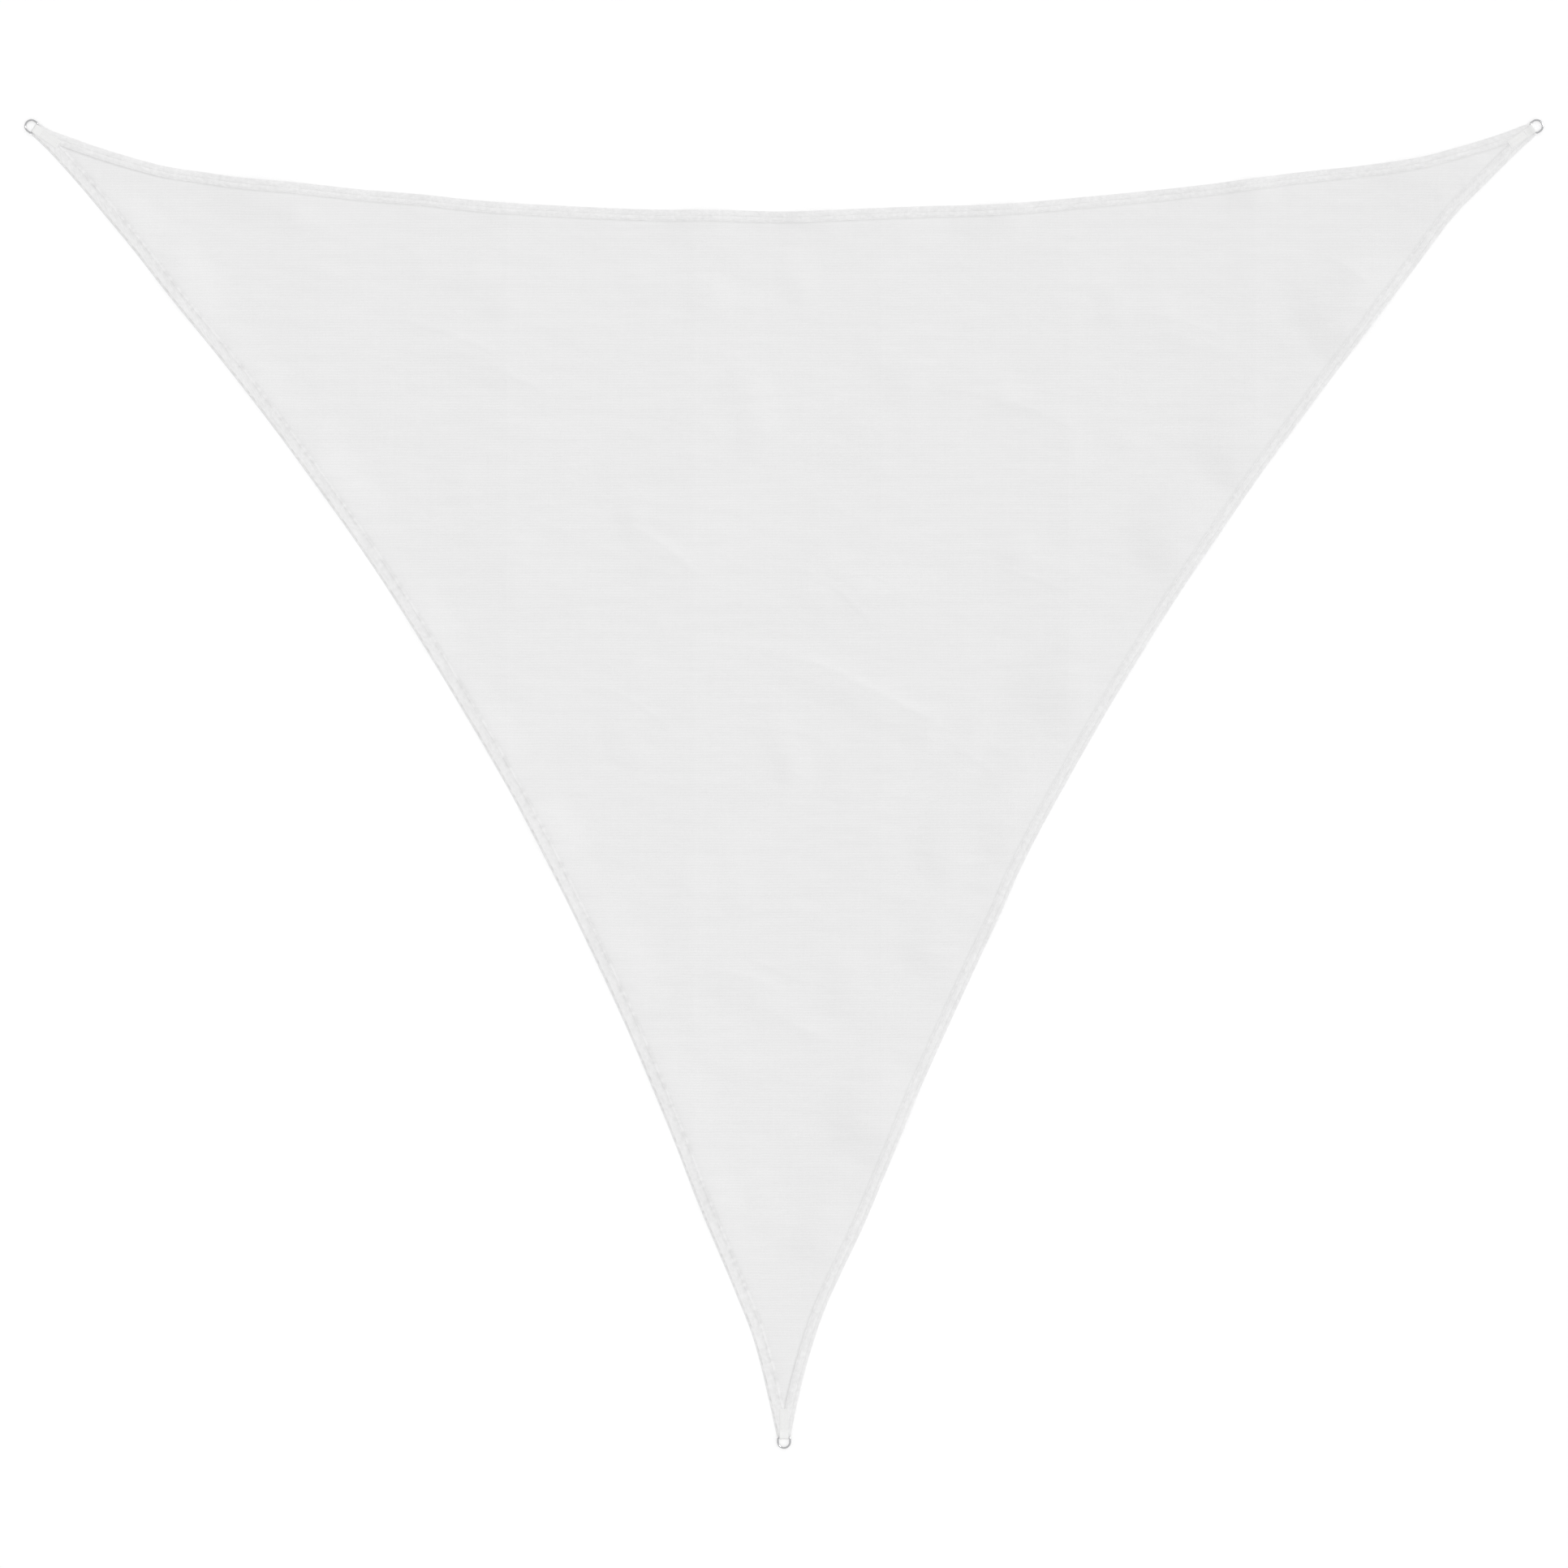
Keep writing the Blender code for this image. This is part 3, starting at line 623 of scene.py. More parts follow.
# Low folds that the cloth lies in, each with its crest's place and how far it falls away ahead and
# behind: slanting ones, then those beside the right hem, its waves, and the left and top hems' waves
Fold = namedtuple("Fold", "x y ahead behind width heading rise")
FOLDS = (
    Fold(x=-1.01, y=1.39, ahead=0.40, behind=0.40, width=0.16, heading=-22, rise=0.0020),
    Fold(x=0.24, y=0.29, ahead=0.39, behind=0.39, width=0.18, heading=-24, rise=0.0030),
    Fold(x=1.36, y=1.46, ahead=0.23, behind=0.23, width=0.14, heading=-19, rise=0.0018),
    Fold(x=-0.09, y=-0.70, ahead=0.38, behind=0.38, width=0.18, heading=-31, rise=0.0022),
    Fold(x=-0.41, y=0.76, ahead=0.23, behind=0.23, width=0.14, heading=-37, rise=0.0016),
    Fold(x=0.17, y=0.72, ahead=0.21, behind=0.21, width=0.14, heading=-51, rise=0.0016),
    Fold(x=0.69, y=1.30, ahead=0.34, behind=0.34, width=0.16, heading=-23, rise=0.0018),
    Fold(x=0.81, y=0.74, ahead=0.27, behind=0.27, width=0.14, heading=-24, rise=0.0016),
    Fold(x=2.27, y=2.00, ahead=0.12, behind=0.62, width=0.50, heading=35, rise=0.0040),
    Fold(x=1.83, y=1.54, ahead=0.30, behind=0.16, width=0.40, heading=40, rise=0.0100),
    Fold(x=1.47, y=1.10, ahead=0.26, behind=0.14, width=0.34, heading=44, rise=0.0066),
    Fold(x=1.28, y=0.81, ahead=0.26, behind=0.16, width=0.36, heading=46, rise=0.0092),
    Fold(x=0.91, y=0.31, ahead=0.30, behind=0.15, width=0.34, heading=50, rise=0.0072),
    Fold(x=0.71, y=-0.10, ahead=0.30, behind=0.14, width=0.28, heading=52, rise=0.0076),
    Fold(x=0.53, y=-0.20, ahead=0.22, behind=0.13, width=0.26, heading=46, rise=0.0066),
    Fold(x=0.49, y=-0.53, ahead=0.22, behind=0.12, width=0.26, heading=60, rise=0.0050),
    Fold(x=0.27, y=-1.10, ahead=0.22, behind=0.14, width=0.32, heading=58, rise=0.0082),
    Fold(x=0.12, y=-1.49, ahead=0.20, behind=0.12, width=0.22, heading=66, rise=0.0042),
    Fold(x=1.68, y=1.20, ahead=0.24, behind=0.24, width=0.28, heading=53, rise=0.0034),
    Fold(x=1.14, y=0.44, ahead=0.24, behind=0.24, width=0.28, heading=55, rise=0.0034),
    Fold(x=0.70, y=-0.41, ahead=0.22, behind=0.22, width=0.26, heading=63, rise=0.0030),
    Fold(x=0.40, y=-1.12, ahead=0.20, behind=0.20, width=0.24, heading=67, rise=0.0028),
    Fold(x=-2.17, y=1.85, ahead=0.17, behind=0.17, width=0.24, heading=-47, rise=0.0050),
    Fold(x=-1.99, y=1.61, ahead=0.21, behind=0.21, width=0.30, heading=-51, rise=0.0075),
    Fold(x=-1.76, y=1.32, ahead=0.26, behind=0.26, width=0.28, heading=-53, rise=0.0050),
    Fold(x=-1.50, y=0.99, ahead=0.30, behind=0.30, width=0.28, heading=-54, rise=0.0058),
    Fold(x=-1.20, y=0.50, ahead=0.20, behind=0.20, width=0.28, heading=-57, rise=0.0072),
    Fold(x=-1.00, y=0.17, ahead=0.23, behind=0.23, width=0.26, heading=-59, rise=0.0048),
    Fold(x=-0.79, y=-0.19, ahead=0.21, behind=0.21, width=0.30, heading=-61, rise=0.0072),
    Fold(x=-0.56, y=-0.58, ahead=0.26, behind=0.26, width=0.28, heading=-64, rise=0.0058),
    Fold(x=-0.38, y=-0.98, ahead=0.25, behind=0.25, width=0.26, heading=-66, rise=0.0055),
    Fold(x=-0.23, y=-1.40, ahead=0.22, behind=0.22, width=0.24, heading=-69, rise=0.0050),
    Fold(x=-1.72, y=1.98, ahead=0.21, behind=0.21, width=0.34, heading=-7, rise=0.0070),
    Fold(x=-0.93, y=1.93, ahead=0.11, behind=0.11, width=0.22, heading=-4, rise=0.0040),
    Fold(x=-0.28, y=1.90, ahead=0.17, behind=0.17, width=0.30, heading=-1, rise=0.0070),
    Fold(x=-0.24, y=1.60, ahead=0.10, behind=0.10, width=0.18, heading=-8, rise=0.0030),
    Fold(x=0.10, y=1.89, ahead=0.15, behind=0.15, width=0.28, heading=0, rise=0.0060),
    Fold(x=0.70, y=1.91, ahead=0.13, behind=0.13, width=0.28, heading=3, rise=0.0065),
    Fold(x=1.53, y=1.97, ahead=0.10, behind=0.10, width=0.22, heading=7, rise=0.0055),
    Fold(x=2.03, y=2.05, ahead=0.14, behind=0.14, width=0.22, heading=11, rise=0.0045),
)

# Fine creases on the folds: a soft ridge line with the cloth falling away to both sides
Crease = namedtuple("Crease", "x y length heading bend rise half")
CREASES = (
    Crease(x=-1.10, y=1.45, length=0.52, heading=-19, bend=0.03, rise=0.0014, half=0.018),
    Crease(x=-0.86, y=1.35, length=0.34, heading=-26, bend=-0.02, rise=0.0009, half=0.017),
    Crease(x=0.12, y=0.37, length=0.40, heading=-20, bend=0.02, rise=0.0015, half=0.018),
    Crease(x=0.36, y=0.26, length=0.52, heading=-27, bend=0.015, rise=0.0015, half=0.019),
    Crease(x=0.62, y=0.10, length=0.30, heading=-33, bend=-0.01, rise=0.0011, half=0.018),
    Crease(x=1.34, y=1.49, length=0.34, heading=-17, bend=0.02, rise=0.0015, half=0.017),
    Crease(x=-0.14, y=-0.66, length=0.34, heading=-14, bend=0.03, rise=0.0013, half=0.018),
    Crease(x=0.06, y=-0.78, length=0.34, heading=-27, bend=-0.02, rise=0.0013, half=0.018),
    Crease(x=-0.41, y=0.76, length=0.40, heading=-35, bend=0.03, rise=0.0012, half=0.016),
    Crease(x=0.16, y=0.60, length=0.40, heading=-38, bend=0.04, rise=0.0011, half=0.016),
    Crease(x=0.78, y=1.21, length=0.52, heading=-19, bend=0.03, rise=0.0011, half=0.016),
    Crease(x=0.81, y=0.66, length=0.40, heading=-20, bend=0.02, rise=0.0012, half=0.016),
    Crease(x=-0.50, y=0.24, length=0.40, heading=-30, bend=0.03, rise=0.0009, half=0.016),
    Crease(x=-0.02, y=-0.62, length=0.30, heading=-22, bend=0.01, rise=0.0009, half=0.016),
    Crease(x=0.05, y=0.15, length=0.34, heading=-16, bend=0.02, rise=0.0009, half=0.017),
    Crease(x=1.84, y=1.68, length=0.30, heading=-34, bend=0.02, rise=0.0009, half=0.016),
    Crease(x=2.335, y=2.118, length=0.07, heading=118, bend=0.00, rise=0.0022, half=0.012),
    Crease(x=2.245, y=1.958, length=0.08, heading=104, bend=0.01, rise=0.0020, half=0.013),
    Crease(x=2.17, y=1.93, length=0.10, heading=130, bend=0.01, rise=0.0012, half=0.014),
    Crease(x=-2.345, y=2.070, length=0.07, heading=60, bend=0.00, rise=0.0018, half=0.012),
    Crease(x=-2.255, y=1.985, length=0.07, heading=80, bend=0.01, rise=0.0020, half=0.012),
    Crease(x=-0.020, y=-2.010, length=0.06, heading=80, bend=0.00, rise=0.0018, half=0.012),
)
POINTS_ACROSS_CREASE = (-2.2, -1.1, -0.5, 0.0, 0.5, 1.1, 2.2)
CREASE_STATION = 17.0 * MM


def in_folds_axes(fold, place):
    """How far each place lies along a fold or crease from its middle, and across it."""
    angle = math.radians(fold.heading)
    onward = np.array((math.cos(angle), math.sin(angle)))
    sideways = np.array((-onward[1], onward[0]))
    offset = place - np.array((fold.x, fold.y))
    return offset @ onward, offset @ sideways


def folds_rise(place):
    """Every fold is a smooth hump that falls away to nothing at its ends and sides."""
    rise = np.zeros(len(place))
    for fold in FOLDS:
        along, across = in_folds_axes(fold, place)
        along = np.clip(along / np.where(along > 0, fold.ahead, fold.behind), -1.0, 1.0)
        across = np.clip(across / (fold.width / 2), -1.0, 1.0)
        rise += fold.rise * (1 - along**2) ** 2 * (1 - across**2) ** 2
    return rise


def creases_rise(place):
    """Every crease is a bent ridge, high along its middle and lost at its ends."""
    rise = np.zeros(len(place))
    for crease in CREASES:
        along, across = in_folds_axes(crease, place)
        share = np.clip(along / (crease.length / 2), -1.0, 1.0)
        across = across - crease.bend * (1 - share**2)
        rise += crease.rise * (1 - share**2) ** 2 / (1 + (across / crease.half) ** 2) ** 2
    return rise


def smooth_step(value, low, high):
    """0 below low and 1 above high, with an eased rise between."""
    share = np.clip((value - low) / (high - low), 0.0, 1.0)
    return share * share * (3 - 2 * share)


# Slight unevenness made of many waves, and how far from the rim it is whole
SWELL_WAVES = 26
SWELL_LONGEST = 0.75
SWELL_SHORTEST = 0.14
SWELL_RISE = 0.7 * MM
SWELL_LEVEL = 0.4
SWELL_SEED = 11
SWELL_FULL = 0.12


def swell(place):
    """Slight unevenness all over, from level to a low rise, the same for every call."""
    random = np.random.default_rng(SWELL_SEED)
    total = np.zeros(len(place))
    weight = 0.0
    for _ in range(SWELL_WAVES):
        length = SWELL_SHORTEST * (SWELL_LONGEST / SWELL_SHORTEST) ** random.random()
        angle = random.uniform(0.0, math.pi)
        phase = random.uniform(0.0, 2 * math.pi)
        strength = length / SWELL_LONGEST
        way = np.array((math.cos(angle), math.sin(angle)))
        total += strength * np.sin(place @ way * 2 * math.pi / length + phase)
        weight += strength**2
    share = total / math.sqrt(weight / 2)
    return SWELL_RISE * np.clip(share + SWELL_LEVEL, 0.0, None) ** 2 / 2


# The cloth puffs up beside its sewn hems and falls away inwards, by a mix of short and long waves
PUFF_KNOTS = (0.034, 0.062, 0.125, 0.31)
PUFF_SHARES = (0.32, 0.38, 0.34, 0.16)
PUFF_SHARPNESS = 3.0
PUFF_LEAST = 0.12
PUFF_REACH = 70.0 * MM
FOOT_REACH = 140.0 * MM
HEM_RIPPLE = 0.5 * MM
STEP_START = 0.4 * MM
LONGEST_EDGE = 8.0


def wander(run, knot, seed):
    """A smooth random value from 0 to 1 along a run."""
    values = np.random.default_rng(seed).random(int(LONGEST_EDGE / knot))
    place = run / knot
    first = np.floor(place).astype(int)
    ease = smooth_step(place - first, 0.0, 1.0)
    return values[first] * (1 - ease) + values[first + 1] * ease


def puffs(distances, runs):
    """Rise of the cloth beside its hems, and a slight ripple of the hems themselves."""
    rise = np.zeros(len(distances))
    for number, edge in enumerate(EDGES):
        lift = 0.0
        for octave, (knot, share) in enumerate(zip(PUFF_KNOTS, PUFF_SHARES)):
            value = wander(runs[:, number], knot, seed=(number, octave))
            lift = lift + share * value**PUFF_SHARPNESS
        past = distances[:, number] - HEM_WIDTH
        beside = smooth_step(past, 0.0, edge.hem.crest)
        beside = beside * np.exp(-np.clip(past - edge.hem.crest, 0.0, None) / PUFF_REACH)
        beside = edge.hem.puff * (PUFF_LEAST + lift) * beside
        inward = np.clip(past, 0.0, None)
        ripple = HEM_RIPPLE * lift * np.exp(-inward / PUFF_REACH)
        foot = edge.hem.foot * smooth_step(past, -STEP_START, HEM_STEP)
        foot = foot * np.exp(-inward / FOOT_REACH)
        rise = np.maximum(rise, beside + ripple + foot)
    return rise


PLACES_AT_ONCE = 4096


def along_edges(place):
    """Each place's distance inside every edge, and the run along it, with one column an edge."""
    distances = np.empty((len(place), len(EDGES)))
    runs = np.empty_like(distances)
    for number, edge in enumerate(EDGES):
        start, step = edge.points[:-1], np.diff(edge.points, axis=0)
        square = (step**2).sum(axis=1)
        for low in range(0, len(place), PLACES_AT_ONCE):
            part = slice(low, low + PLACES_AT_ONCE)
            offset = place[part][:, None, :] - start[None]
            share = np.clip((offset * step).sum(axis=2) / square, 0.0, 1.0)
            gap = np.linalg.norm(offset - share[..., None] * step, axis=2)
            nearest = gap.argmin(axis=1)
            index = np.arange(len(nearest))
            distances[part, number] = gap[index, nearest]
            length = share[index, nearest] * (edge.run[nearest + 1] - edge.run[nearest])
            runs[part, number] = edge.run[nearest] + length
    return distances, runs


def from_ends(place):
    """Distance from the nearest cut end of the cloth, behind a ring's bar."""
    nearest = np.full(len(place), np.inf)
    for corner in CORNERS:
        behind = (np.array(corner.bar) - place) @ np.array(corner.heading)
        nearest = np.minimum(nearest, np.abs(behind - END_SETBACK))
    return nearest


def from_bars(place):
    """Distance from the nearest ring's bar."""
    return np.min([np.linalg.norm(place - np.array(c.bar), axis=1) for c in CORNERS], axis=0)


GROOVE_BELOW = 0.8


def faces_of_cloth(place, distances, runs):
    """The heights of the cloth's lower and upper faces."""
    reach = from_bars(place)
    loose = smooth_step(reach, CALM_FULL, CALM_NONE)
    lift = CORNER_LIFT * np.clip((LIFT_NONE - reach) / (LIFT_NONE - LIFT_FULL), 0.0, 1.0)
    nearest = distances.min(axis=1)
    relief = folds_rise(place) + creases_rise(place)
    relief = relief + swell(place) * smooth_step(nearest, 0.0, SWELL_FULL)
    relief = relief + puffs(distances, runs)
    base = lift + relief * loose

    groove = np.zeros(len(place))
    crown = np.zeros(len(place))
    for number, edge in enumerate(EDGES):
        for row in (edge.hem.outer_row, INNER_ROW):
            away = (distances[:, number] - row) / GROOVE_HALF
            groove = np.maximum(groove, edge.hem.groove * np.exp(-(away**2)))
        middle = (edge.hem.outer_row + INNER_ROW) / 2
        half = (INNER_ROW - edge.hem.outer_row) / 2
        arch = np.clip(1 - ((distances[:, number] - middle) / half) ** 2, 0.0, 1.0)
        own = distances.argmin(axis=1) == number
        crown[own] = edge.hem.crown * arch[own] + max(-edge.hem.crown, 0.0)
    in_hem = 1 - smooth_step(nearest, HEM_WIDTH - STEP_START, HEM_WIDTH + HEM_STEP)
    full = SEWN_THICKNESS + (HEM_THICKNESS - SEWN_THICKNESS) * (crown * loose + 1 - loose)
    thick = SHEET_THICKNESS + (full - SHEET_THICKNESS) * in_hem
    rounded = np.clip(1 - np.minimum(nearest, from_ends(place)) / EDGE_ROUND, 0.0, 1.0)
    half = thick / 2 * np.sqrt(1 - rounded**2)
    groove = groove * in_hem * (rounded == 0.0)
    core = base + thick / 2
    return core - half + groove * GROOVE_BELOW, core + half - groove


# ================================================================ the cloth's mesh

# Rows of points along the hems, measured inwards from the rim, from each row of stitches and from
# the hem's inner side
Row = namedtuple("Row", "measured_from offset")
ROWS = (
    Row("rim", 0.25 * MM),
    Row("rim", 0.85 * MM),
    Row("rim", 1.75 * MM),
    Row("outer", -2.6 * MM),
    Row("outer", -1.2 * MM),
    Row("outer", 0.0),
    Row("outer", 1.2 * MM),
    Row("outer", 2.6 * MM),
    Row("inner", -8.0 * MM),
    Row("inner", -2.6 * MM),
    Row("inner", -1.2 * MM),
    Row("inner", 0.0),
    Row("inner", 1.2 * MM),
    Row("hem", 0.0),
    Row("hem", HEM_STEP),
    Row("hem", 8.0 * MM),
    Row("hem", 15.0 * MM),
    Row("hem", 26.0 * MM),
)

# Inside them, an even grid of triangles
GRID = 20.5 * MM
GRID_ROW = GRID * math.sqrt(0.75)
CLEAR_OF_HEM = 0.5 * GRID
CLEAR_OF_POINTS = 0.6 * GRID
TRIANGLES_INSIDE = 1
SAME_POINT = 1e-6


def row_line(row):
    """The closed line of one row of points."""
    if row.measured_from == "outer":
        return closed_row([edge.hem.outer_row + row.offset for edge in EDGES], END_ROW + row.offset)
    start = {"rim": 0.0, "inner": INNER_ROW, "hem": HEM_WIDTH}[row.measured_from]
    return closed_row([start + row.offset] * len(EDGES), start + row.offset)


def crease_points():
    """Rows of points across each crease, so that its ridge is caught."""
    points = []
    for crease in CREASES:
        angle = math.radians(crease.heading)
        onward = Vector((math.cos(angle), math.sin(angle)))
        sideways = Vector((-onward.y, onward.x))
        count = round(crease.length / CREASE_STATION)
        for station in range(count + 1):
            share = 2 * station / count - 1
            middle = Vector((crease.x, crease.y)) + onward * share * crease.length / 2
            middle += sideways * crease.bend * (1 - share**2)
            points += [middle + sideways * crease.half * across for across in POINTS_ACROSS_CREASE]
    return points


def inside(line, place):
    """Whether each place is inside the closed line."""
    p = np.array(line)
    q = np.roll(p, -1, axis=0)
    found = np.zeros(len(place), bool)
    for (ax, ay), (bx, by) in zip(p, q):
        if ay != by:
            crossed = (ay > place[:, 1]) != (by > place[:, 1])
            found ^= crossed & (place[:, 0] < ax + (bx - ax) * (place[:, 1] - ay) / (by - ay))
    return found


def tree_of(points):
    """A tree to find the nearest of some flat points in."""
    tree = KDTree(len(points))
    for index, point in enumerate(points):
        tree.insert((*point, 0.0), index)
    tree.balance()
    return tree


def spread_points(limit_line):
    """Crease rows first, then an even grid that keeps clear of them and of the hem."""
    tree = tree_of(limit_line)
    creases = np.array(crease_points())
    kept = []
    for point in creases[inside(limit_line, creases)]:
        if tree.find((*point, 0.0))[2] > CLEAR_OF_HEM:
            kept.append(Vector(point))
    tree = tree_of([*limit_line, *kept])
    high = max(point.y for point in limit_line)
    wide = max(point.x for point in limit_line)
    grid = []
    for row in range(-math.ceil(high / GRID_ROW) - 1, math.ceil(high / GRID_ROW) + 1):
        for column in range(-math.ceil(wide / GRID) - 1, math.ceil(wide / GRID) + 1):
            grid.append(((column + 0.5 * (row % 2)) * GRID, row * GRID_ROW))
    grid = np.array(grid)
    for point in grid[inside(limit_line, grid)]:
        if tree.find((*point, 0.0))[2] > CLEAR_OF_POINTS:
            kept.append(Vector(point))
    return kept


def sail(finish):
    """One closed sheet: thick and grooved along its hems, thin inside, lying in its folds."""
    outline = outline_row()
    rows = [row_line(row) for row in ROWS]
    points = list(outline)
    lines = []
    for line in [outline, *rows]:
        first = len(points) if line is not outline else 0
        if line is not outline:
            points += line
        lines += [(first + step, first + (step + 1) % len(line)) for step in range(len(line))]
    points += spread_points(rows[-1])
    flat, _, triangles, sources, _, _ = delaunay_2d_cdt(
        points, lines, [], TRIANGLES_INSIDE, SAME_POINT
    )
    place = np.array([(p.x, p.y) for p in flat])
    on_rim = np.array([min(source, default=len(outline)) < len(outline) for source in sources])
    distances, runs = along_edges(place)
    lower, upper = faces_of_cloth(place, distances, runs)
    lower[on_rim] = upper[on_rim] = (lower[on_rim] + upper[on_rim]) / 2

    count = len(place)
    below = np.where(on_rim, np.arange(count), count + np.cumsum(~on_rim) - 1)
    heights = np.r_[upper, lower[~on_rim]]
    spots = np.c_[np.r_[place, place[~on_rim]], heights]
    top = np.array(triangles)
    a, b, c = place[top[:, 0]], place[top[:, 1]], place[top[:, 2]]
    turned = np.cross(b - a, c - a) < 0
    top[turned] = top[turned][:, ::-1]
    faces = np.r_[top, below[top][:, ::-1]]

    mesh = bpy.data.meshes.new("sail")
    mesh.from_pydata(spots.tolist(), [], faces.tolist())
    mesh.materials.append(finish)
    mesh.shade_smooth()
    write_cloth_maps(mesh, faces, top, place, distances, runs)
    piece = bpy.data.objects.new("sail", mesh)
    bpy.context.scene.collection.objects.link(piece)
    return piece


def write_cloth_maps(mesh, faces, top, place, distances, runs):
    """Each face corner's place on the cloth before its hem was turned in, and along the hem."""
    both = np.r_[top, top[:, ::-1]]
    middle = distances[both].mean(axis=1)
    own = middle.argmin(axis=1)
    corner = both.ravel()
    edge = np.repeat(own, 3)
    inward = distances[corner, edge]
    run = runs[corner, edge]
    flat = place[corner].copy()
    upper = np.repeat(np.arange(len(faces)) < len(top), 3)
    turned_in = upper & (np.repeat(middle.min(axis=1), 3) < HEM_WIDTH)
    for number, one in enumerate(EDGES):
        chosen = turned_in & (edge == number)
        way = read_along(to_right(one.points), one.run, run[chosen])
        flat[chosen] -= 2 * inward[chosen][:, None] * way
    outer = np.array([one.hem.outer_row for one in EDGES])[edge]
    side = np.array([(one.hem.side_at, one.hem.side_reach) for one in EDGES])[edge]
    tone = np.array([one.hem.tone for one in EDGES])[edge]
    maps = {
        "flat_cloth": flat,
        "along_hem": np.c_[run, inward],
        "stitch_rows": np.c_[inward - outer, inward - INNER_ROW],
        # Strength of the painted shade along each hem's outer row and inner side
        "hem_painted_shade": np.array([(one.hem.row_soil, one.hem.side_soil) for one in EDGES])[edge],
        "hem_side": np.c_[(inward - side[:, 0]) / side[:, 1], tone],
    }
    for name, values in maps.items():
        layer = mesh.uv_layers.new(name=name)
        layer.uv.foreach_set("vector", values.astype(np.float32).ravel())


# ================================================================ rings and webbing loops


def deselect():
    """Leaves edit mode and selects nothing."""
    if bpy.context.object and bpy.context.object.mode != "OBJECT":
        bpy.ops.object.mode_set(mode="OBJECT")
    bpy.ops.object.select_all(action="DESELECT")


def finished(piece, name, finish, place=None):
    """Names a piece, puts its place in its mesh and gives it its finish."""
    piece.name = name
    piece.data.name = name
    piece.data.transform((place or Matrix()) @ piece.matrix_basis)
    piece.matrix_basis = Matrix()
    piece.data.materials.clear()
    piece.data.materials.append(finish)
    return piece


def at_corner(corner):
    """The place and turn of a corner's ring."""
    turn = Matrix.Rotation(math.atan2(corner.heading.y, corner.heading.x), 4, "Z")
    return Matrix.Translation((corner.bar.x, corner.bar.y, 0.0)) @ turn


WIRE_SIDES = 28
BOW_STEPS = 44
BEND_STEPS = 12
BAR_STEPS = 4


def d_ring(finish):
    """A round wire section, spun round the bow and bends and drawn out along the straights."""
    half = RING_WIDTH / 2
    bend = RING_CORNER_RADIUS
    bow = RING_DEPTH - half
    deselect()
    bpy.ops.mesh.primitive_circle_add(
        vertices=WIRE_SIDES,
        radius=WIRE / 2,
        location=(bow, -half, 0.0),
        rotation=(0.0, math.pi / 2, 0.0),
    )
    bpy.ops.object.mode_set(mode="EDIT")
    bpy.ops.mesh.select_all(action="SELECT")

    def spin(steps, angle, centre):
        bpy.ops.mesh.spin(steps=steps, angle=-angle, center=(*centre, 0.0), axis=(0, 0, 1))

    def draw_out(x, y):
        bpy.ops.mesh.extrude_region_move(TRANSFORM_OT_translate={"value": (x, y, 0.0)})

    spin(BOW_STEPS, math.pi, (bow, 0.0))
    draw_out(bend - bow, 0.0)
    spin(BEND_STEPS, math.pi / 2, (bend, half - bend))
    for _ in range(BAR_STEPS):
        draw_out(0.0, 2 * (bend - half) / BAR_STEPS)
    spin(BEND_STEPS, math.pi / 2, (bend, bend - half))
    draw_out(bow - bend, 0.0)
    bpy.ops.mesh.select_all(action="SELECT")
    bpy.ops.mesh.remove_doubles(threshold=MERGE_DISTANCE)
    bpy.ops.mesh.normals_make_consistent(inside=False)
    bpy.ops.object.mode_set(mode="OBJECT")
    bpy.ops.object.shade_smooth()
    dipped = Matrix.Translation((0.0, 0.0, BAR_HEIGHT)) @ Matrix.Rotation(RING_DIP, 4, "Y")
    return finished(bpy.context.object, "d_ring", finish, dipped)


STRAP_ACROSS = 12
LEG_STEPS = 30
NOSE_STEPS = 18
EASE_STEPS = 10
WEBBING_ROUNDING = 0.4 * MM
ROUNDED_FROM = math.radians(60)
SHARP_FROM = math.radians(40)
PRESSED = 0.22 * MM
ROW_PRESS_HALF = 1.2 * MM
TACK_PRESS_HALF = 2.0 * MM
SEWN_FROM = -LOOP_EASE + 1.0 * MM
UPPER_LEG_HEIGHT = CORNER_LIFT + HEM_THICKNESS + GAP_OVER_CLOTH + WEBBING_THICKNESS / 2
STRAP_ROWS = (-12.5 * MM, 0.0, 12.5 * MM)
BAR_TACKS = (-LOOP_LENGTH + 6.0 * MM, -LOOP_EASE - 4.0 * MM)


def strap_path():
    """The webbing's middle line from the side, from the lower leg's end round the bar and back."""
    radius = WIRE / 2 + BAR_CLEARANCE + WEBBING_THICKNESS / 2
    path = []
    for step in range(LEG_STEPS):
        path.append((-LOOP_LENGTH * (1 - step / LEG_STEPS), WEBBING_THICKNESS / 2))
    for step in range(NOSE_STEPS + 1):
        angle = -math.pi / 2 + math.pi * step / NOSE_STEPS
        path.append((radius * math.cos(angle), BAR_HEIGHT + radius * math.sin(angle)))
    drop = path[-1][1] - UPPER_LEG_HEIGHT
    for step in range(1, EASE_STEPS + 1):
        share = step / EASE_STEPS
        ease = 0.5 + 0.5 * math.cos(math.pi * share)
        path.append((-LOOP_EASE * share, UPPER_LEG_HEIGHT + drop * ease))
    for step in range(1, LEG_STEPS + 1):
        share = step / LEG_STEPS
        path.append((-LOOP_EASE - (LOOP_LENGTH - LOOP_EASE) * share, UPPER_LEG_HEIGHT))
    return path


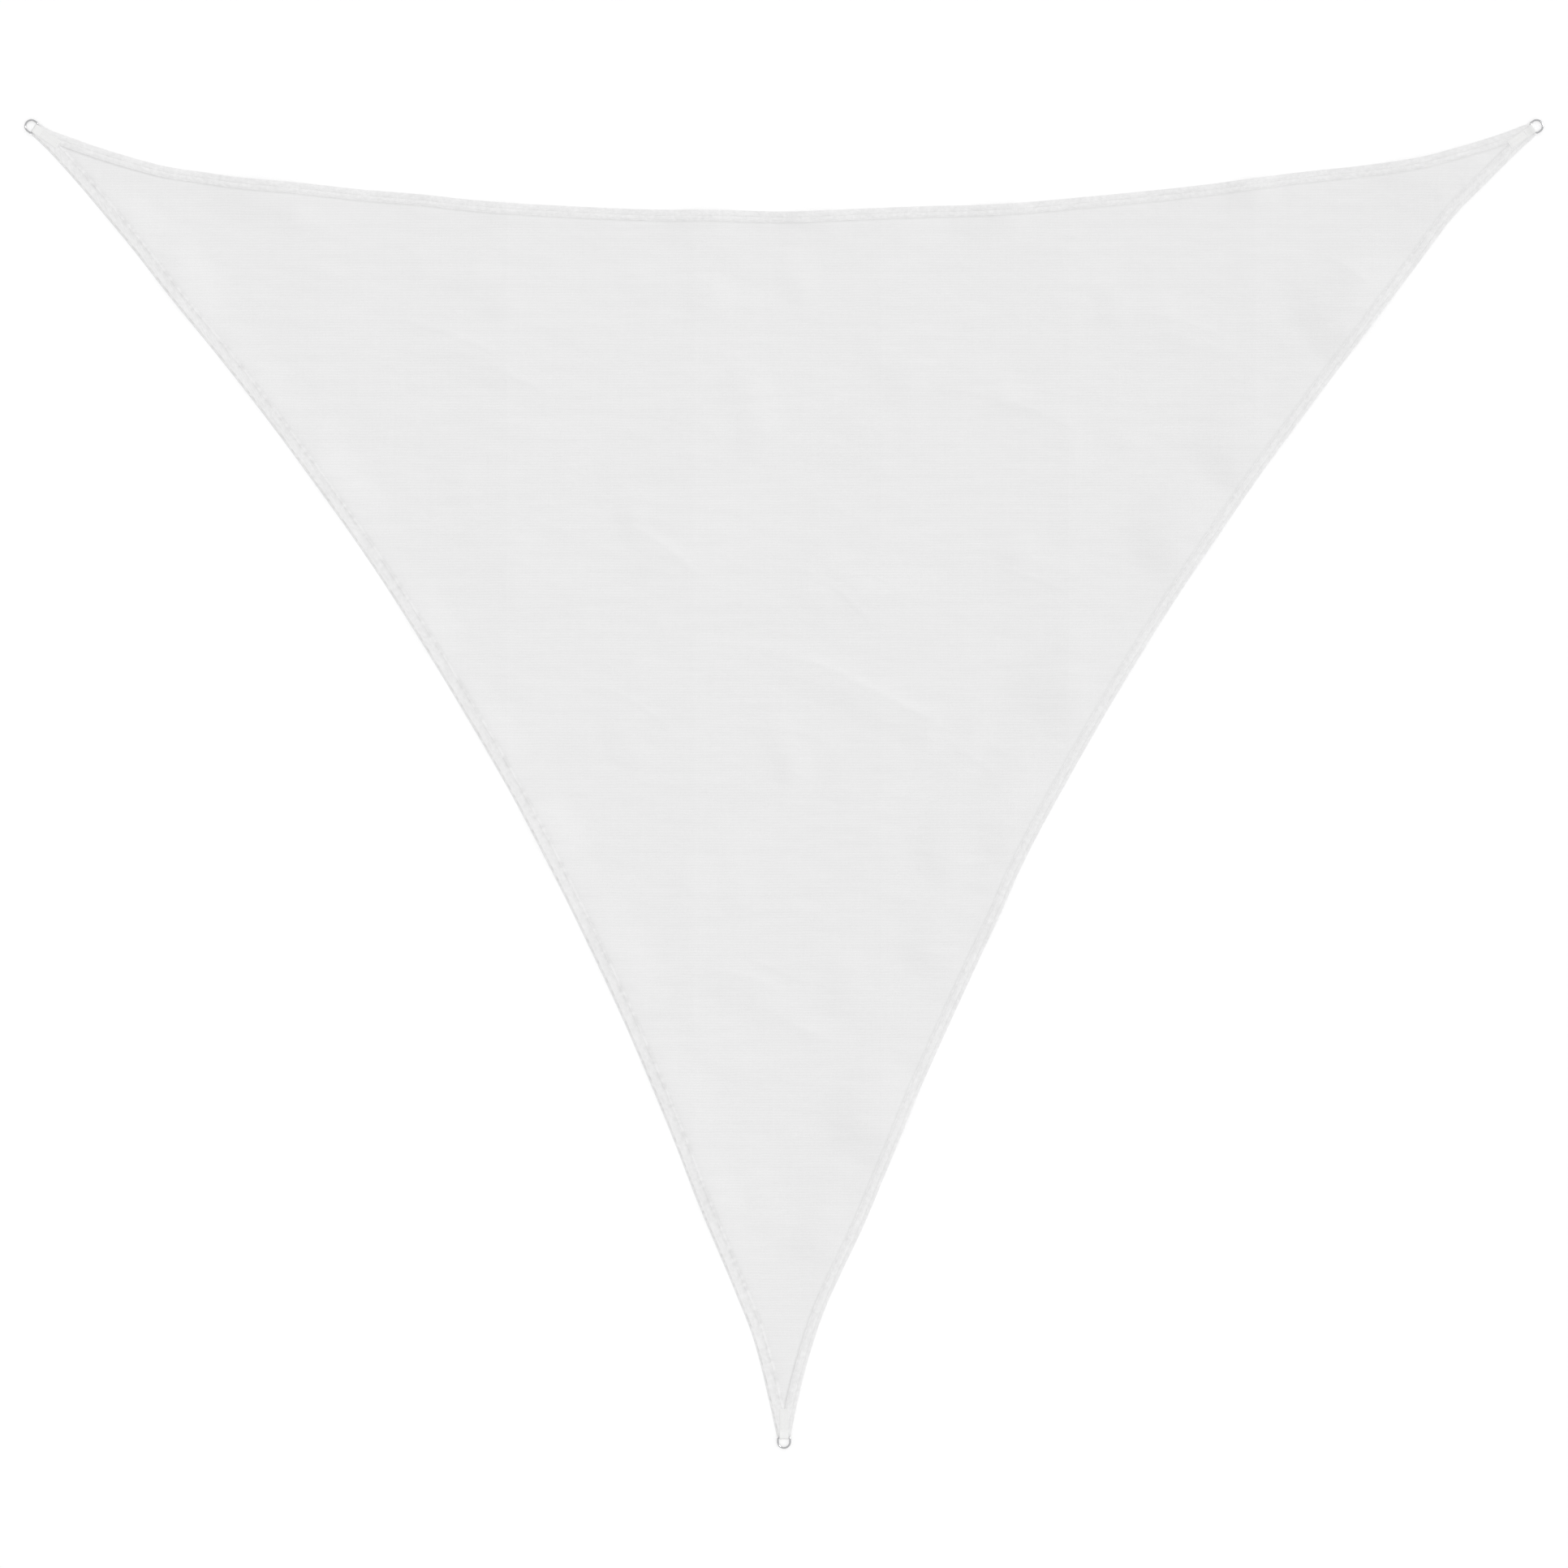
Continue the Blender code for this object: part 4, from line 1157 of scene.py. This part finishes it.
def strap(finish):
    """One end of webbing, drawn out along its path, pressed at its stitches and thickened."""
    path = strap_path()
    deselect()
    bpy.ops.mesh.primitive_grid_add(
        x_subdivisions=1, y_subdivisions=STRAP_ACROSS, size=1.0, location=(0.0, 0.0, 0.0)
    )
    piece = bpy.context.object
    mesh = piece.data
    first, second = path[:2]
    for vertex in mesh.vertices:
        x, z = first if vertex.co.x < 0 else second
        vertex.co = (x, vertex.co.y * WEBBING_WIDTH, z)
    bpy.ops.object.mode_set(mode="EDIT")
    body = bmesh.from_edit_mesh(mesh)
    for face in body.faces:
        face.select_set(False)
    for edge in body.edges:
        edge.select_set(all(abs(v.co.x - second[0]) < MERGE_DISTANCE for v in edge.verts))
    bmesh.update_edit_mesh(mesh)
    for before, after in zip(path[1:], path[2:]):
        step = (after[0] - before[0], 0.0, after[1] - before[1])
        bpy.ops.mesh.extrude_region_move(TRANSFORM_OT_translate={"value": step})
    bpy.ops.object.mode_set(mode="OBJECT")

    lengths = np.r_[0.0, np.cumsum([math.dist(a, b) for a, b in zip(path, path[1:])])]
    tree = tree_of(path)
    along = [lengths[tree.find((v.co.x, v.co.z, 0.0))[1]] for v in mesh.vertices]
    across = [v.co.y for v in mesh.vertices]
    layer = mesh.uv_layers.new(name="strap")
    for loop in mesh.loops:
        layer.uv[loop.index].vector = (along[loop.vertex_index], across[loop.vertex_index])
    for vertex in mesh.vertices:
        if vertex.co.x < SEWN_FROM:
            row = min(abs(vertex.co.y - y) for y in STRAP_ROWS) / ROW_PRESS_HALF
            tack = min(abs(vertex.co.x - x) for x in BAR_TACKS) / TACK_PRESS_HALF
            press = PRESSED * math.exp(-(min(row, tack) ** 2))
            vertex.co.z += press if vertex.co.z < BAR_HEIGHT / 2 else -press

    solid = piece.modifiers.new("thickness", "SOLIDIFY")
    solid.thickness = WEBBING_THICKNESS
    solid.offset = 0.0
    solid.use_even_offset = True
    round_over = piece.modifiers.new("rounding", "BEVEL")
    round_over.width = WEBBING_ROUNDING
    round_over.segments = 2
    round_over.limit_method = "ANGLE"
    round_over.angle_limit = ROUNDED_FROM
    for modifier in ("thickness", "rounding"):
        bpy.ops.object.modifier_apply(modifier=modifier)
    bpy.ops.object.mode_set(mode="EDIT")
    bpy.ops.mesh.select_all(action="SELECT")
    bpy.ops.mesh.normals_make_consistent(inside=False)
    bpy.ops.object.mode_set(mode="OBJECT")
    bpy.ops.object.shade_smooth_by_angle(angle=SHARP_FROM)
    return finished(piece, "strap", finish)


# ================================================================ stitches

STITCH_LENGTH = 3.9 * MM
THREAD = 0.75 * MM
THREAD_SIDES = 6

# A stitch's sections: their share of its length, and their size and height in threads
Section = namedtuple("Section", "share size height")
STITCH_SECTIONS = (
    Section(share=0.0, size=0.35, height=-0.7),
    Section(share=0.14, size=0.8, height=-0.1),
    Section(share=0.5, size=1.0, height=0.12),
    Section(share=0.86, size=0.8, height=-0.1),
    Section(share=1.0, size=0.35, height=-0.7),
)


def one_stitch():
    """Points, faces and twist map of a stitch along +X, humped, its ends going into the cloth."""
    points, faces, twist = [], [], []
    for share, size, height in STITCH_SECTIONS:
        for side in range(THREAD_SIDES):
            angle = 2 * math.pi * side / THREAD_SIDES
            y = THREAD / 2 * size * math.cos(angle)
            z = THREAD / 2 * (size * math.sin(angle) + height)
            points.append(((share - 0.5) * STITCH_LENGTH, y, z))
    for section in range(len(STITCH_SECTIONS) - 1):
        for side in range(THREAD_SIDES):
            onward = (side + 1) % THREAD_SIDES
            a, b = section * THREAD_SIDES, (section + 1) * THREAD_SIDES
            faces.append((a + side, b + side, b + onward, a + onward))
            low, high = STITCH_SECTIONS[section].share, STITCH_SECTIONS[section + 1].share
            here, there = side / THREAD_SIDES, (side + 1) / THREAD_SIDES
            twist.append(((low, here), (high, here), (high, there), (low, there)))
    last = (len(STITCH_SECTIONS) - 1) * THREAD_SIDES
    faces.append(tuple(range(THREAD_SIDES)))
    faces.append(tuple(last + side for side in reversed(range(THREAD_SIDES))))
    twist.append(((0.0, 0.0),) * THREAD_SIDES)
    twist.append(((1.0, 0.0),) * THREAD_SIDES)
    return np.array(points), faces, twist


def stitched(name, starts, ends, finish, upwards=True):
    """A piece of many stitches, one from each start to each end, humped up or down."""
    points, faces, twist = one_stitch()
    starts, ends = np.array(starts), np.array(ends)
    onward = ends - starts
    length = np.linalg.norm(onward, axis=1)
    onward /= length[:, None]
    side = np.cross((0.0, 0.0, 1.0 if upwards else -1.0), onward)
    side /= np.linalg.norm(side, axis=1)[:, None]
    out = np.cross(onward, side)
    middle = (starts + ends) / 2
    stretch = (length / STITCH_LENGTH)[:, None, None]
    spots = (
        middle[:, None, :]
        + points[None, :, 0, None] * onward[:, None, :] * stretch
        + points[None, :, 1, None] * side[:, None, :]
        + points[None, :, 2, None] * out[:, None, :]
    )
    spots = spots.reshape(-1, 3)
    made = []
    for copy in range(len(starts)):
        shift = copy * len(points)
        made += [tuple(shift + corner for corner in face) for face in faces]
    mesh = bpy.data.meshes.new(name)
    mesh.from_pydata(spots.tolist(), [], made)
    layer = mesh.uv_layers.new(name="thread")
    one = np.array([pair for face in twist for pair in face], dtype=np.float32)
    layer.uv.foreach_set("vector", np.tile(one, (len(starts), 1)).ravel())
    mesh.materials.append(finish)
    mesh.shade_smooth()
    piece = bpy.data.objects.new(name, mesh)
    bpy.context.scene.collection.objects.link(piece)
    return piece


STITCH_SINK = 0.12 * MM
PAST_STRAP = LOOP_LENGTH + 2.0 * MM
BESIDE_STRAP = WEBBING_WIDTH / 2 + 1.2 * MM
LAST_STITCH = END_SETBACK + 3.5 * MM


def clear_of_straps(place):
    """Whether each place is behind the straps or beside them, and short of the cloth's cut ends."""
    clear = np.ones(len(place), bool)
    for corner in CORNERS:
        heading = np.array(corner.heading)
        offset = np.array(corner.bar) - place
        behind = offset @ heading
        across = np.abs(offset @ np.array((-heading[1], heading[0])))
        clear &= (behind > PAST_STRAP) | ((across > BESIDE_STRAP) & (behind > LAST_STITCH))
    return clear


def row_of_stitches(edge, gap, trim):
    """Where each stitch of a row starts and ends on the plan."""
    count = int(edge.run[-1] / STITCH_PITCH)
    into = to_right(edge.points)

    def spot(run):
        base = read_along(edge.points, edge.run, run)
        return base + read_along(into, edge.run, run) * gap

    middle = (np.arange(count) + 0.5) * STITCH_PITCH
    start, end = spot(middle - STITCH_LENGTH / 2), spot(middle + STITCH_LENGTH / 2)
    distances, _ = along_edges((start + end) / 2)
    own = EDGES.index(edge)
    others = np.delete(distances, own, axis=1).min(axis=1)
    kept = (others > trim) & clear_of_straps((start + end) / 2)
    return start[kept], end[kept]


def hem_stitches(finish):
    """Two rows along every edge, on both faces."""
    made = []
    for face, upwards in (("upper", True), ("lower", False)):
        for row in ("outer", "inner"):
            starts, ends = [], []
            for edge in EDGES:
                gap = edge.hem.outer_row if row == "outer" else INNER_ROW
                trim = 0.0 if row == "outer" else INNER_ROW
                start, end = row_of_stitches(edge, gap, trim)
                starts.append(start)
                ends.append(end)
            starts, ends = np.concatenate(starts), np.concatenate(ends)
            raised = []
            for spots in (starts, ends):
                distances, runs = along_edges(spots)
                low, high = faces_of_cloth(spots, distances, runs)
                height = high + STITCH_SINK if upwards else low - STITCH_SINK
                raised.append(np.c_[spots, height])
            made.append(stitched(f"hem_stitches_{row}_{face}", *raised, finish, upwards))
    return made


TACK_STITCHES = 21
TACK_SLANT = 0.55 * MM


def strap_stitches(finish):
    """Lengthwise rows and two bar tacks on one strap, on both its faces, in the ring's own place."""
    made = []
    high = UPPER_LEG_HEIGHT + WEBBING_THICKNESS / 2 - PRESSED + STITCH_SINK
    low = PRESSED - STITCH_SINK
    for face, height, upwards in (("upper", high, True), ("lower", low, False)):
        starts, ends = [], []
        first, last = BAR_TACKS
        for y in STRAP_ROWS:
            count = int((last - first) / STITCH_PITCH)
            for number in range(count):
                x = first + (number + 0.5) * (last - first) / count
                starts.append((x - STITCH_LENGTH / 2, y, height))
                ends.append((x + STITCH_LENGTH / 2, y, height))
        for x in BAR_TACKS:
            for number in range(TACK_STITCHES):
                share = (number + 0.5) / TACK_STITCHES
                y = STRAP_ROWS[0] + share * (STRAP_ROWS[-1] - STRAP_ROWS[0])
                slant = TACK_SLANT if number % 2 else -TACK_SLANT
                starts.append((x - STITCH_LENGTH / 2, y - slant, height))
                ends.append((x + STITCH_LENGTH / 2, y + slant, height))
        made.append(stitched(f"strap_stitches_{face}", starts, ends, finish, upwards))
    return made


def copied(piece, name, place):
    """A copy with its own mesh, moved to its place."""
    copy = bpy.data.objects.new(name, piece.data.copy())
    copy.data.name = name
    copy.data.transform(place)
    bpy.context.scene.collection.objects.link(copy)
    return copy


# ================================================================ floor, light and camera

PHOTO_PIXELS = 1932
MM_A_PIXEL = 2.665
FRAME_WIDTH = PHOTO_PIXELS * MM_A_PIXEL * MM
LENS = 85.0
SENSOR = 36.0
FARTHEST = 200.0
FLOOR_SIZE = 160.0
FLOOR_HEIGHT = -0.3 * MM
SKY_STRENGTH = 0.785
KEY_ENERGY = 1.56
KEY_SPREAD = math.radians(20)
KEY_AZIMUTH = math.radians(28)
KEY_ELEVATION = math.radians(38)


def stage():
    """A pale floor, an even white sky and one broad light from the upper right, without shadows."""
    deselect()
    bpy.ops.mesh.primitive_plane_add(size=FLOOR_SIZE, location=(0.0, 0.0, FLOOR_HEIGHT))
    floor = bpy.context.object
    finished(floor, "floor", pale_floor())

    world = bpy.data.worlds.new("studio")
    world.use_nodes = True
    sky = world.node_tree.nodes["Background"]
    sky.inputs["Color"].default_value = (1.0, 1.0, 1.0, 1.0)
    sky.inputs["Strength"].default_value = SKY_STRENGTH
    bpy.context.scene.world = world

    deselect()
    bpy.ops.object.light_add(type="SUN", location=(6.0, 5.0, 6.0))
    key = bpy.context.object
    key.name = "key_light"
    key.data.energy = KEY_ENERGY
    key.data.angle = KEY_SPREAD
    key.data.use_shadow = False
    from_way = Vector((math.cos(KEY_AZIMUTH), math.sin(KEY_AZIMUTH), math.tan(KEY_ELEVATION)))
    key.rotation_mode = "QUATERNION"
    key.rotation_quaternion = from_way.to_track_quat("Z", "Y")


def camera():
    """Straight above the sail, as high as the photo's width on the surface asks."""
    lens = bpy.data.cameras.new("camera")
    lens.lens = LENS
    lens.sensor_width = SENSOR
    height = FRAME_WIDTH / 2 * LENS / (SENSOR / 2)
    lens.clip_end = FARTHEST
    eye = bpy.data.objects.new("camera", lens)
    eye.location = (0.0, 0.0, height)
    bpy.context.scene.collection.objects.link(eye)
    bpy.context.scene.camera = eye
    bpy.context.scene.view_settings.view_transform = "Standard"


# ================================================================ putting it together


def build():
    """The sail with its stitches, then the ring, loop and stitches of one corner copied to all."""
    camera()
    stage()
    cloth = knitted_cloth()
    webbing = woven_webbing()
    steel = polished_steel()
    thread = sewing_thread()
    whole = sail(cloth)
    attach(whole, "root")
    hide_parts("sail_cloth")
    on_sail = hem_stitches(thread)
    for piece in on_sail:
        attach(piece, "root")

    ring = d_ring(steel)
    loop = strap(webbing)
    sewn = strap_stitches(thread)
    for corner in CORNERS:
        place = at_corner(corner)
        made = copied(ring, f"steel_ring_{corner.name}", place)
        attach(made, "root")
        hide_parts(f"ring_{corner.name}")
        on_sail.append(made)
        made = copied(loop, f"webbing_loop_{corner.name}", place)
        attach(made, "root")
        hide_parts(f"corner_loop_{corner.name}")
        on_sail.append(made)
        for pattern in sewn:
            made = copied(pattern, f"{pattern.name}_{corner.name}", place)
            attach(made, "root")
            on_sail.append(made)
    for pattern in (ring, loop, *sewn):
        bpy.data.objects.remove(pattern)


build()
